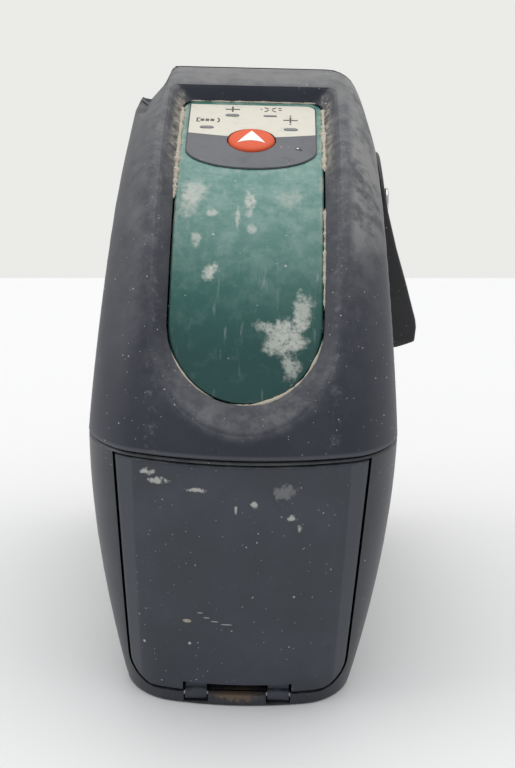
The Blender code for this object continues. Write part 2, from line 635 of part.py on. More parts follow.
# ---- lock lever --------------------------------------------------------------------------------
def lever_outline():
    """Outline in (y, z): a round hub that runs down into a narrower fin."""
    cy, cz = PIVOT[1], PIVOT[2]
    pts = [(cy + 11.5 * math.cos(math.radians(a)), cz + 11.5 * math.sin(math.radians(a)))
           for a in range(-10, 191, 20)]
    pts += [(cy - 9.6, 84), (cy - 8.2, 72), (cy - 7.6, 65.0), (cy - 6.4, 62.6), (cy - 4.0, 61.8),
            (cy + 4.0, 61.8), (cy + 6.4, 62.6), (cy + 7.6, 65.0), (cy + 8.2, 72), (cy + 9.6, 84)]
    return pts


def lever_outer(z):
    return np.interp(z, (62.3, 64.4, 68, 70, 79, 88, 97, 102, 109),
                     (35.6, 40.1, 40.4, 40.0, 37.3, 34.4, 31.9, 30.9, 29.8))


def lever_parts():
    cy, cz = PIVOT[1], PIVOT[2]
    loop = spread(lever_outline(), 40)

    def outer(y, z):
        return np.stack([lever_outer(z), y, z], -1)

    def inner(y, z):
        return np.stack([half_width(z) + LEVER_GAP, y, z], -1)

    lever = from_bmesh("lock_lever", bm_plate(loop, outer, inner, (1.0, 0.85, 0.6, 0.3)),
                       "lever_plastic")
    bore = rod(3.05, (25, cy, cz), (31.0, cy, cz))
    head = rod(3.4, (31.6, cy, cz), (45, cy, cz))
    shank = rod(1.3, (30, cy, cz), (36, cy, cz), 16)
    combine(lever, [bore, head, shank], "DIFFERENCE")
    shaft = from_bmesh("lever_shaft", rod(3.0, (23.2, cy, cz), (30.8, cy, cz)), "steel")
    combine(shaft, [rod(1.25, (26.4, cy, cz), (36, cy, cz), 16)], "DIFFERENCE")
    turn = Matrix.Translation((0, cy, cz)) @ Matrix.Rotation(math.pi / 2, 4, "Y")
    screw = bm_turned([(0, 26.7), (1.15, 26.7), (1.15, 31.75), (2.9, 31.75), (3.1, 32.0), (3.1, 32.35),
                       (2.7, 32.6), (1.0, 32.65), (1.0, 32.2), (0, 32.2)], 24, turn)
    from_bmesh("lever_screw", screw, "steel")
    wall = float(half_width(np.array(cz)))
    from_bmesh("lever_seal", rod(4.4, (wall - 1.9, cy, cz), (wall - 0.2, cy, cz), 32, 3.1), "rubber")
    arm = from_bmesh("lock_arm", rod(5.5, (22.8, cy, cz), (25.0, cy, cz)), "white_plastic")
    bars = [bm_box((22.8, cy - 4, cz - 34.5), (25.0, cy + 4, cz - 2))]
    foot = sector(32.0, 34.5, -9, 9, 2.0, 23.5)
    combine(arm, bars + [foot], "UNION")
    combine(arm, [rod(3.05, (20, cy, cz), (27, cy, cz))], "DIFFERENCE")
    from_bmesh("lock_pad", sector(29.6, 31.8, -8, 8, 3.0, 13.0), "rubber")
    for name in ("lock_lever", "lever_shaft", "lever_screw", "lock_arm", "lock_pad"):
        pivot(bpy.data.objects[name], PIVOT)
    from_bmesh("power_microswitch", bm_box((22.6, -1.0, 74.0), (25.6, 4.6, 86.0), None, 0.3),
               "black_gloss", 0)


def sector(r0, r1, a0, a1, x0, x1, n=8):
    """Bar bent about the lever axis, straight down at angle 0."""
    cy, cz = PIVOT[1], PIVOT[2]
    ring = []
    for r, order in ((r0, 1), (r1, -1)):
        for k in range(n + 1)[::order]:
            a = math.radians(a0 + (a1 - a0) * k / n)
            ring.append((cy + r * math.sin(a), cz - r * math.cos(a)))
    return bm_rings([[(x, y, z) for y, z in ring] for x in (x0, x1)])


# ---- gimbal and pendulum -----------------------------------------------------------------------
def gimbal_parts():
    cx, cy, cz = PIVOT
    base = from_bmesh("chassis", bm_box((-23, -25, 57.0), (23, 41, 59.0)), "zinc", 0)
    solids = []
    for sx in (-1, 1):
        a, b = sorted((sx * 20.0, sx * 22.0))
        solids += [bm_box((a, -8, 58), (b, -2, 102)), bm_box((a, -8, 92), (b, 21, 102)),
                   bm_box((a, -16, 58), (b, 4, 64))]
    solids.append(bm_box((-21, -7.5, 84), (21, -4.5, 92)))
    combine(base, solids, "UNION")
    holes = [rod(1.7, (sx * POST_X, y, 55), (sx * POST_X, y, 61)) for sx in (-1, 1) for y in POST_Y]
    holes += [rod(3.1, (sx * 19, cy, cz), (sx * 23, cy, cz)) for sx in (-1, 1)]
    combine(base, holes, "DIFFERENCE")

    ring = from_bmesh("gimbal_ring", bm_rings([
        [(cx + u, cy + v, cz + h) for u, v in rounded(-a, -b, a, b, c, 3)]
        for a, b, c, h in ((17.5, 15.5, 4, -3.6), (17.5, 15.5, 4, 3.6),
                           (14.5, 12.5, 2, 3.6), (14.5, 12.5, 2, -3.6))], wrap=True), "zinc")
    bores = [rod(1.55, (sx * 13, cy, cz), (sx * 19, cy, cz)) for sx in (-1, 1)]
    bores += [rod(2.55, (cx, cy + sy * 11, cz), (cx, cy + sy * 17, cz)) for sy in (-1, 1)]
    combine(ring, bores, "DIFFERENCE")
    for side, sx in (("left", -1), ("right", 1)):
        from_bmesh("pitch_pin_" + side, rod(1.5, (sx * 14.8, cy, cz), (sx * 21.9, cy, cz)), "steel")
        from_bmesh("pitch_bearing_" + side, rod(3.0, (sx * 20.1, cy, cz), (sx * 21.9, cy, cz), 24, 1.55),
                   "brass")
    for side, sy in (("rear", -1), ("front", 1)):
        from_bmesh("roll_bearing_" + side,
                   rod(2.5, (cx, cy + sy * 12.8, cz), (cx, cy + sy * 15.3, cz), 24, 1.55), "brass")

    body = from_bmesh("pendulum_body", bm_box((-10.5, cy - 10.5, cz - 6), (10.5, cy + 10.5, cz + 5)),
                      "aluminium", 0)
    rim = 11.5
    dome = [(0, -BALL + 1.4)] + [(r, -math.sqrt((BALL - 1.4) ** 2 - r * r)) for r in (3, 6, 9, rim)]
    dome += [(rim, -20.5), (0, -20.5)]
    solids = [bm_box((-7.5, cy - 8, cz - 23), (7.5, cy + 8, cz - 5)),
              bm_turned(dome, 32, Matrix.Translation(PIVOT))]
    combine(body, solids, "UNION")
    spots = {"horizontal": cz - 9.8, "vertical": cz - 18.3}
    holes = [rod(1.55, (cx, cy - 12, cz), (cx, cy + 12, cz), 24)]
    holes += [rod(4.05, (cx, cy - 16, z), (cx, cy + 16, z), 32) for z in spots.values()]
    combine(body, holes, "DIFFERENCE")
    plate = [(0, -BALL + 1.3)] + [(r, -math.sqrt((BALL - 1.3) ** 2 - r * r)) for r in (3, 6, 9, 11.2)]
    plate += [(r, -math.sqrt((BALL - 0.1) ** 2 - r * r)) for r in (11.2, 9, 6, 3)] + [(0, -BALL + 0.1)]
    from_bmesh("damping_plate", bm_turned(plate, 32, Matrix.Translation(PIVOT)), "copper")
    from_bmesh("roll_shaft", rod(1.5, (cx, cy - 15.2, cz), (cx, cy + 15.2, cz)), "steel")
    for key, z in spots.items():
        turn = Matrix.Translation((cx, cy - 12.1, z)) @ Matrix.Rotation(-math.pi / 2, 4, "X")
        barrel = [(0, 0), (3.4, 0), (4.0, 0.6), (4.0, 23.4), (3.4, 24.2), (1.6, 24.2), (1.2, 23.0),
                  (0, 23.0)]
        from_bmesh(key + "_laser", bm_turned(barrel, 20, turn), "brass")
        side = Vector((0, 0, 3.6)) if key == "horizontal" else Vector((3.6, 0, 0))
        at = Vector((cx, cy + 14.2, z))
        from_bmesh(key + "_line_lens", rod(1.7, at - side, at + side), "clear_plastic")
    for name in ("gimbal_ring", "pitch_pin_left", "pitch_pin_right", "roll_bearing_front",
                 "roll_bearing_rear", "pendulum_body", "damping_plate", "roll_shaft", "horizontal_laser",
                 "vertical_laser", "horizontal_line_lens", "vertical_line_lens"):
        pivot(bpy.data.objects[name], PIVOT)
    for side, y in (("rear", cy - 6), ("front", cy + 6)):
        from_bmesh("damping_magnet_" + side, rod(3.0, (-9, y, 59.2), (-9, y, 68.6)), "magnet")


# ---- batteries and fixings ---------------------------------------------------------------------
def battery_parts():
    z0, z1 = CELL_Z, CELL_Z + CELL_L
    front = CELL_Y + CELL_R + 0.5
    tray = from_bmesh("battery_tray", bm_box((-22.85, -38.3, 3.6), (23.0, front + 1.2, 58.2)),
                      "charcoal_plastic", 0)
    hollow = bm_box((-22.5, -60, 3.9), (22.5, front, 57.2))
    combine(tray, [hollow], "DIFFERENCE")
    for k in range(3):
        x = (k - 1) * CELL_PITCH
        up = k != 1
        z_low, z_top = (z0, z1) if up else (z1, z0)
        d = 1 if up else -1
        profile = [(0, z_low), (5.6, z_low), (5.8, z_low + 0.3 * d), (CELL_R, z_low + 0.6 * d),
                   (CELL_R, z_top - 1.9 * d), (CELL_R - 0.7, z_top - 1.2 * d), (2.7, z_top - 1.2 * d),
                   (2.6, z_top - 0.2 * d), (0, z_top)]
        cell = bm_turned(profile, 20, Matrix.Translation((x, CELL_Y, 0)))
        from_bmesh(f"battery_{k + 1}", cell, "cell_wrap")
        zs = 4.75 if up else 56.4
        coil(f"battery_spring_{k + 1}", x, zs, 1 if up else -1)
    plates = (("contact_bottom_pair", -21.5, 6.5, 4.05), ("contact_bottom_single", 8.7, 21.5, 4.05),
              ("contact_top_single", -21.5, -8.7, 56.7), ("contact_top_pair", -6.5, 21.5, 56.7))
    for name, x0, x1, z in plates:
        from_bmesh(name, bm_box((x0, CELL_Y - 5, z), (x1, CELL_Y + 5, z + 0.35)), "steel", 0)


def coil(name, x, z, d):
    """Flat contact spring, one closed wire of falling radius."""
    wire, turns, n = 0.22, 1.5, 18
    rings = []
    for i in range(n + 1):
        a = 2 * math.pi * turns * i / n
        r = 4.2 - 2.6 * i / n
        c = Vector((x + r * math.cos(a), CELL_Y + r * math.sin(a), z + d * 0.22 * i / n * 2))
        u = Vector((math.cos(a), math.sin(a), 0))
        rings.append([tuple(c + u * wire * math.cos(b) + Vector((0, 0, 1)) * wire * math.sin(b))
                      for b in (math.radians(q) for q in range(0, 360, 90))])
    from_bmesh(name, bm_rings(rings), "steel")


def fixings():
    profile = [(0, 0), (2.8, 0), (2.8, 1.7), (1.5, 1.7), (1.5, 18.0), (1.1, 18.8), (0, 18.8)]
    for k, (sx, y) in enumerate((s, y) for s in (-1, 1) for y in POST_Y):
        screw = bm_turned(profile, 16, Matrix.Translation((sx * POST_X, y, 42.1)))
        from_bmesh(f"housing_screw_{k + 1}", screw, "steel")
    insert = [(3.2, 0.3), (6.0, 0.3), (6.0, 3.6), (5.5, 3.9), (5.5, 5.4), (6.0, 5.7), (6.0, 10.0),
              (3.2, 10.0)]
    from_bmesh("tripod_insert", bm_turned(insert, 32, Matrix.Translation((0, 12, 0))), "brass")
    from_bmesh("door_hinge_pin", rod(PIN_R, (-12.1, HINGE_Y, HINGE_Z), (12.1, HINGE_Y, HINGE_Z), 16),
               "steel")


upper_housing()
window_bezel()
lower_housing()
battery_door()
top_insert()
control_label()
panel_parts()
window_parts()
lever_parts()
gimbal_parts()
battery_parts()
fixings()
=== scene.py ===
"""Looks of the cross line laser level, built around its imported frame.

Lengths are millimetres until a mesh is made. X is sideways, -Y faces the user, Z is up. s is the
distance along the middle of the rear and the control panel, counted from the seam.
"""
import math

import bmesh
import bpy
import numpy as np
from mathutils import Matrix, Vector


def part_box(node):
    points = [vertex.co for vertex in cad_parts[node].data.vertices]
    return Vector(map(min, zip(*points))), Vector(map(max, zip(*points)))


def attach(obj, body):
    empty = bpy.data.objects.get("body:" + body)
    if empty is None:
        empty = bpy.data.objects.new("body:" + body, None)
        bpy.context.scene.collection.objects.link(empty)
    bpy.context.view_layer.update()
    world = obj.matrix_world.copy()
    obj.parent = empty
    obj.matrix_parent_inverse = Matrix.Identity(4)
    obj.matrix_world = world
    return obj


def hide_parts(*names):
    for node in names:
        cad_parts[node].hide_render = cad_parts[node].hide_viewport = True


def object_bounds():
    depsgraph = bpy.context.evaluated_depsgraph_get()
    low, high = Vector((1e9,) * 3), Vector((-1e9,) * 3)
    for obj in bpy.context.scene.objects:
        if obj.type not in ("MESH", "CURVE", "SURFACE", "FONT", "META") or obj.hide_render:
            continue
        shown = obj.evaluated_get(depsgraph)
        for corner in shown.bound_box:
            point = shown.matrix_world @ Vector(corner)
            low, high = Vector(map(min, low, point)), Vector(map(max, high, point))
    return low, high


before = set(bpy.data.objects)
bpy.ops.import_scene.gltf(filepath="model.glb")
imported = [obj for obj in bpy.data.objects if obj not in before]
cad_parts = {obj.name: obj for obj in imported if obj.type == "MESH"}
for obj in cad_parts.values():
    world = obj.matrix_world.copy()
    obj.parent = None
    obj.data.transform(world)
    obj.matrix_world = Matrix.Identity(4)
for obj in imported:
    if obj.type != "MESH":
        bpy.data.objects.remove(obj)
cad_low, cad_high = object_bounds()
MM = 0.001


def span(node):
    """Lowest and highest corner of a CAD node in millimetres."""
    low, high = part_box(node)
    return np.array(low) / MM, np.array(high) / MM


# ---- driving dimensions, the same as the frame's ------------------------------------------------
HEIGHT = cad_high.z / MM
SEAM_Z = span("upper_housing")[0][2]
LOWER_TOP = span("lower_housing")[1][2]
HALF_SEAM, HALF_BASE, HALF_TOP = 33.0, 24.8, 27.6
REAR_PLANE, REAR_SEAM, REAR_BASE = -55.9, -54.1, -52.1
FRONT_SEAM, FRONT_BASE, FRONT_TOP = 55.0, 50.0, 43.5
REAR_LEAN, PANEL_SLOPE, PANEL_Z = 0.05, 0.29, 121.0
ARC, CROWN = 54.0, 70.0
CHAMFER_X, CHAMFER = 22.0, 1.0
CREASE_BASE, CREASE_SEAM = 20.9, 22.6
WALL = 2.3
CUT_SEAM, CUT_TOP, PART_GAP = 49.0, 39.5, 0.35

RECESS_DEPTH, INSERT_T, INSERT_HALF = 3.5, 2.0, 16.2
INSERT_LOW, INSERT_HIGH = 12.0, 104.0
RIDGE_HALF, RIDGE_LOW, RIDGE_HIGH = 19.7, 4.8, 106.6
CORNER_R, OVAL = 3.5, 1.13
LABEL_HALF, LABEL_LOW, LABEL_HIGH = 14.5, 72.0, 101.7
BUTTON_S, BUTTON_R = 84.0, 5.3
SLITS = {"battery": (-10.4, 90.0), "cross": (-4.7, 96.3), "slope": (4.1, 96.3), "plumb": (8.9, 89.7)}
SLIT_W, SLIT_H, SLOPE_SLIT_H = 3.0, 1.2, 0.65

DOOR_TOP, DOOR_LOW = 57.2, 3.2
DOOR_HALF_TOP, DOOR_HALF_LOW = 26.45, 23.6
DOOR_T, DOOR_CORNER = 2.2, 6.0
KNUCKLE_R, PIN_R = 1.4, 0.6
NOTCH_X, NOTCH_Z = 11.8, 5.4      # the lower edge of the door steps up over the hinge
COVE_R = 2.75             # hollow in the rim beside the knuckles that lets the door swing
COVE_X, COVE_HALF = 12.9, 1.43
COVE_BACK, COVE_UP = 3.6, 0.3     # its axis, from the axis of the hinge
LEVER_SEAT, LEVER_SEAT_R, LEVER_GAP = 29.6, 15.5, 0.5
HINGE_Y, HINGE_Z, HINGE_X = -50.0, 2.1, 8.95
PIVOT = (0.0, 16.0, 97.0)
POST_X, POST_Y = 20.0, (-20.5, 36.0)
POSTS = [(sx * POST_X, y) for sx in (-1, 1) for y in POST_Y]
BOSS_R, WELL_R, SCREW_R = 4.3, 3.2, 1.7      # screw posts, the wells of the heads and the screw holes
TRIPOD_Y, TRIPOD_BOSS_R, TRIPOD_BORE_R = 12, 9.0, 6.1
SHAFT_BORE_R = 4.6


# ---- shape of the outside ----------------------------------------------------------------------
def corner(a, b, r):
    """Inside both half spaces, with a round of radius r between them."""
    u, v = np.maximum(a + r, 0), np.maximum(b + r, 0)
    return np.minimum(np.maximum(a, b), -r) + np.sqrt(u * u + v * v)


def half_width(z):
    low = HALF_BASE + (HALF_SEAM - HALF_BASE) * np.sin(np.clip(z / SEAM_Z, 0, 1) * np.pi / 2) ** 0.9
    t = np.clip((z - SEAM_Z) / (HEIGHT - SEAM_Z), 0, 1)
    return np.where(z < SEAM_Z, low, HALF_SEAM + (HALF_TOP - HALF_SEAM) * t ** 1.1)


def shoulder(y, z):
    """Side profile of the rear, the arc and the plane of the panel shoulders."""
    rear = -(y - (REAR_PLANE + (z - SEAM_Z) * REAR_LEAN))
    low = -(y - (REAR_SEAM + (REAR_BASE - REAR_SEAM) * np.clip((SEAM_Z - z) / SEAM_Z, 0, 1.2)))
    top = (z - (PANEL_Z + (y - 18) * PANEL_SLOPE)) / math.hypot(1, PANEL_SLOPE)
    return np.where(z < SEAM_Z, low, corner(rear, top, ARC))


def bend(v, width=0.7):
    """Zero below 0 and v above it, with a soft turn."""
    return width * np.log1p(np.exp(np.clip(v / width, -20, 20)))


def roof_drop(x):
    """Fall of the roof's sides: a step and a steep flank on the left, a shallow one on the right."""
    left = 3.0 * bend(-x - 20.2, 0.3) - 1.85 * bend(-x - 21.5, 0.3)
    return np.where(x < 0, left, 0.5 * bend(x - 19.8) + 1.6 * bend(x - 24.0))


def hull(x, y, z, roof=True):
    """Negative inside the outer skin."""
    ax = np.abs(x)
    phi = np.arctan2(np.maximum(z - SEAM_Z, 0), -(y - 10))
    c2 = np.cos(np.clip(phi, 0, np.pi / 2)) ** 2
    side = c2 * x * x / (2 * CROWN) + (1 - c2) * bend(ax - CHAMFER_X) * CHAMFER
    body = shoulder(y, z) + side
    if roof:
        body = corner(body, z - HEIGHT + roof_drop(x), 1.2)
    half = half_width(z)
    body = corner(body, ax - half, 10 - 7 * (1 - c2))
    rise = np.clip((z - SEAM_Z) / (HEIGHT - SEAM_Z), 0, 1)
    front = np.where(z < SEAM_Z, y - (FRONT_SEAM + (FRONT_BASE - FRONT_SEAM) * (SEAM_Z - z) / SEAM_Z),
                     (y - (FRONT_SEAM + (FRONT_TOP - FRONT_SEAM) * rise)) * 0.97)
    return np.maximum(corner(body, front, 3.0), -z)


def march(start, along, level=0.0, reach=140.0, roof=True):
    """Points where rays that start inside meet the skin moved in or out by level."""
    start, along = np.broadcast_arrays(np.asarray(start, float), np.asarray(along, float))
    along = along / np.linalg.norm(along, axis=-1, keepdims=True)
    near, far = np.zeros(along.shape[:-1]), np.full(along.shape[:-1], reach)
    for _ in range(30):
        mid = (near + far) / 2
        p = start + along * mid[..., None]
        inside = hull(p[..., 0], p[..., 1], p[..., 2], roof) < level
        near, far = np.where(inside, mid, near), np.where(inside, far, mid)
    return start + along * near[..., None]


def centre_line():
    """Distance, position and outward normal along the middle of the rear and the panel."""
    phi = np.radians(np.linspace(0, 106, 849))
    along = np.stack([-np.cos(phi), np.sin(phi)], -1)
    near, far = np.zeros(len(phi)), np.full(len(phi), 130.0)
    for _ in range(40):
        mid = (near + far) / 2
        p = np.array([5.0, SEAM_Z]) + along * mid[:, None]
        inside = shoulder(p[:, 0], p[:, 1]) < 0
        near, far = np.where(inside, mid, near), np.where(inside, far, mid)
    p = np.array([5.0, SEAM_Z]) + along * near[:, None]
    s = np.concatenate([[0], np.cumsum(np.linalg.norm(np.diff(p, axis=0), axis=1))])
    t = np.gradient(p, axis=0)
    t /= np.linalg.norm(t, axis=1)[:, None]
    return s, p, np.stack([-t[:, 1], t[:, 0]], -1)


LINE_S, LINE_P, LINE_N = centre_line()


def panel_point(x, s, depth, roof=False):
    """Point above the centre line at s, sideways at x, sunk below the shoulders by depth."""
    x, s, depth = np.broadcast_arrays(*(np.asarray(v, float) for v in (x, s, depth)))
    p = [np.interp(s, LINE_S, LINE_P[:, k]) for k in (0, 1)]
    n = [np.interp(s, LINE_S, LINE_N[:, k]) for k in (0, 1)]
    start = np.stack([x, p[0] - 12 * n[0], p[1] - 12 * n[1]], -1)
    along = np.stack([0 * x, n[0], n[1]], -1)
    return march(start, along, 0.0, 24.0, roof) - along * depth[..., None]


def panel_loop(points, depth, roof=False):
    """The same for an outline of points (x, s)."""
    return panel_point(points[:, 0], points[:, 1], depth, roof)


def panel_normal(s):
    """Outward normals along the centre line at s."""
    return np.stack([0 * s] + [np.interp(s, LINE_S, LINE_N[:, k]) for k in (0, 1)], -1)


PANEL_N = Vector((0, -PANEL_SLOPE, 1)).normalized()
PANEL_U = Vector((0, 1, PANEL_SLOPE)).normalized()


def panel_matrix(x, s, depth):
    """Frame on the panel: X sideways, Y up the panel, Z out of it."""
    m = Matrix((Vector((1, 0, 0)), PANEL_U, PANEL_N)).transposed().to_4x4()
    m.translation = Vector(panel_point(x, s, depth))
    return m


# ---- mesh helpers ------------------------------------------------------------------------------
def finish_mesh(name, bm, look, body, smooth=35, replaced=()):
    """Object from a bmesh in millimetres, with its material, body and the CAD nodes it stands for."""
    bmesh.ops.remove_doubles(bm, verts=bm.verts, dist=1e-5)
    bmesh.ops.recalc_face_normals(bm, faces=bm.faces)
    bmesh.ops.scale(bm, vec=(MM,) * 3, verts=bm.verts)
    mesh = bpy.data.meshes.new(name)
    bm.to_mesh(mesh)
    bm.free()
    ob = bpy.data.objects.new(name, mesh)
    bpy.context.scene.collection.objects.link(ob)
    if look is not None:
        mesh.materials.append(look)
    mesh.shade_smooth()
    mesh.set_sharp_from_angle(angle=math.radians(smooth))
    if body:
        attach(ob, body)
    if replaced:
        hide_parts(*replaced)
    return ob


def circle(r, h, n):
    """n points on a circle of radius r at height h."""
    return [(r * math.cos(2 * math.pi * i / n), r * math.sin(2 * math.pi * i / n), h) for i in range(n)]


def piece(name, bm, finish, nodes=(), body="housing", smooth=35):
    """Object with one of the finishes as its material."""
    return finish_mesh(name, bm, FINISH[finish], body, smooth, nodes)


def rings_bm(rings, wrap=False):
    """Skin through loops of equal length; the ends are capped, or joined when wrap is set."""
    bm = bmesh.new()
    rows = [[bm.verts.new(p) for p in ring] for ring in rings]
    n = len(rows[0])
    for a, b in list(zip(rows, rows[1:])) + ([(rows[-1], rows[0])] if wrap else []):
        for i in range(n):
            bm.faces.new((a[i], a[(i + 1) % n], b[(i + 1) % n], b[i]))
    if not wrap:
        for row in (rows[0], rows[-1]):
            mid = bm.verts.new(sum((v.co for v in row), Vector()) / n)
            for i in range(n):
                bm.faces.new((row[i], row[(i + 1) % n], mid))
    return bm


def turned_bm(profile, n=64, turn=None):
    """Body turned about local Z from (radius, height) points; radius 0 closes on the axis."""
    closed = profile[0][0] > 0
    bm = rings_bm([circle(r, h, n) for r, h in profile if r > 0], wrap=closed)
    if not closed:
        ends = (profile[0][1], profile[-1][1])
        for v in bm.verts:
            if len(v.link_edges) == n and abs(v.co.x) + abs(v.co.y) < 1e-6:
                v.co.z = min(ends, key=lambda h: abs(h - v.co.z))
    if turn is not None:
        bmesh.ops.transform(bm, matrix=turn, verts=bm.verts)
    return bm


def rod_bm(r, a, b, n=48):
    a, b = Vector(a), Vector(b)
    turn = Matrix.Translation(a) @ (b - a).to_track_quat("Z", "Y").to_matrix().to_4x4()
    return turned_bm([(0, 0), (r, 0), (r, (b - a).length), (0, (b - a).length)], n, turn)


def box_bm(low, high, turn=None, bevel=0.0):
    bm = bmesh.new()
    bmesh.ops.create_cube(bm, size=1)
    bmesh.ops.scale(bm, vec=[h - l for l, h in zip(low, high)], verts=bm.verts)
    bmesh.ops.translate(bm, vec=[(l + h) / 2 for l, h in zip(low, high)], verts=bm.verts)
    if bevel:
        bmesh.ops.bevel(bm, geom=bm.edges[:], offset=bevel, segments=3, affect="EDGES",
                        profile=0.5)
    if turn is not None:
        bmesh.ops.transform(bm, matrix=turn, verts=bm.verts)
    return bm


def slab_bm(front, back, flip=False):
    """Thin body between two grids of points; flip turns the faces of the back round."""
    bm = bmesh.new()
    sheets = [[[bm.verts.new(p) for p in row] for row in sheet] for sheet in (front, back)]
    for sheet in sheets:
        for a, b in zip(sheet, sheet[1:]):
            for i in range(len(a) - 1):
                quad = (a[i], a[i + 1], b[i + 1], b[i])
                bm.faces.new(quad[::-1] if flip and sheet is sheets[1] else quad)
    rims = [s[0] + [row[-1] for row in s[1:]] + s[-1][-2::-1] + [row[0] for row in s[-2:0:-1]]
            for s in sheets]
    for i in range(len(rims[0])):
        j = (i + 1) % len(rims[0])
        bm.faces.new((rims[0][i], rims[1][i], rims[1][j], rims[0][j]))
    return bm


def merged(*bms):
    """Several bodies in one bmesh."""
    out = bmesh.new()
    for bm in bms:
        mesh = bpy.data.meshes.new("part")
        bm.to_mesh(mesh)
        bm.free()
        out.from_mesh(mesh)
        bpy.data.meshes.remove(mesh)
    return out


def cut(ob, tool_bm, operation="DIFFERENCE"):
    """Boolean with a tool that is made, used and removed."""
    tool = finish_mesh(ob.name + "_tool", tool_bm, None, None)
    mod = ob.modifiers.new("cut", "BOOLEAN")
    mod.operation, mod.solver, mod.object = operation, "EXACT", tool
    graph = bpy.context.evaluated_depsgraph_get()
    mesh = bpy.data.meshes.new_from_object(ob.evaluated_get(graph))
    ob.modifiers.clear()
    ob.data = mesh
    bpy.data.objects.remove(tool, do_unlink=True)
    while len(mesh.materials) > 1:
        mesh.materials.pop()
    mesh.shade_smooth()
    mesh.set_sharp_from_angle(angle=math.radians(35))
    return ob


def even(path, n, turn_weight=12.0):
    """n + 1 points along an open path, closer together where it bends."""
    step = np.diff(path, axis=0)
    heading = np.unwrap(np.arctan2(step[:, 1], step[:, 0]))
    bend = np.abs(np.diff(heading, prepend=heading[0])) / 2
    bend += np.abs(np.diff(heading, append=heading[-1])) / 2
    d = np.concatenate([[0], np.cumsum(np.linalg.norm(step, axis=1) + turn_weight * bend)])
    t = np.linspace(0, d[-1], n + 1)
    return np.stack([np.interp(t, d, path[:, 0]), np.interp(t, d, path[:, 1])], -1)


def spread(loop, n):
    """A closed outline with n evenly spaced points, keeping its start."""
    p = np.asarray(list(loop) + [loop[0]], float)
    d = np.concatenate([[0], np.cumsum(np.linalg.norm(np.diff(p, axis=0), axis=1))])
    t = np.linspace(0, d[-1], n, endpoint=False)
    return np.stack([np.interp(t, d, p[:, 0]), np.interp(t, d, p[:, 1])], -1)


def rounded(x0, y0, x1, y1, r, n=10):
    pts = []
    for cx, cy, a0 in ((x0 + r, y0 + r, 180), (x1 - r, y0 + r, 270), (x1 - r, y1 - r, 0),
                       (x0 + r, y1 - r, 90)):
        for i in range(n + 1):
            a = math.radians(a0 + 90 * i / n)
            pts.append((cx + r * math.cos(a), cy + r * math.sin(a)))
    return pts


def shrink(loop, d):
    """Outline moved inwards by d, for anticlockwise loops."""
    ahead, behind = np.roll(loop, -1, 0), np.roll(loop, 1, 0)
    t = ahead - behind
    t /= np.maximum(np.linalg.norm(t, axis=1), 1e-9)[:, None]
    return loop + np.stack([-t[:, 1], t[:, 0]], -1) * d


def capsule(half, low, high, r_top, low_axis, n_side, n_top):
    """Panel outline in (x, s): down the left side, round the lower end, up the right, across."""
    a = np.linspace(0, np.pi, 73)
    arc = np.stack([-half * np.cos(a), low + low_axis - low_axis * np.sin(a)], -1)
    k = np.radians(np.linspace(0, 45, 8))
    right = np.stack([half - r_top + r_top * np.cos(k), high - r_top + r_top * np.sin(k)], -1)
    side = even(np.concatenate([right[::-1] * (-1, 1), arc, right]), n_side)
    k = np.radians(np.linspace(45, 90, 8))
    turn = np.stack([half - r_top + r_top * np.cos(k), high - r_top + r_top * np.sin(k)], -1)
    top = even(np.concatenate([turn, turn[::-1] * (-1, 1)]), n_top)
    return np.concatenate([side[:-1], top[:-1]])


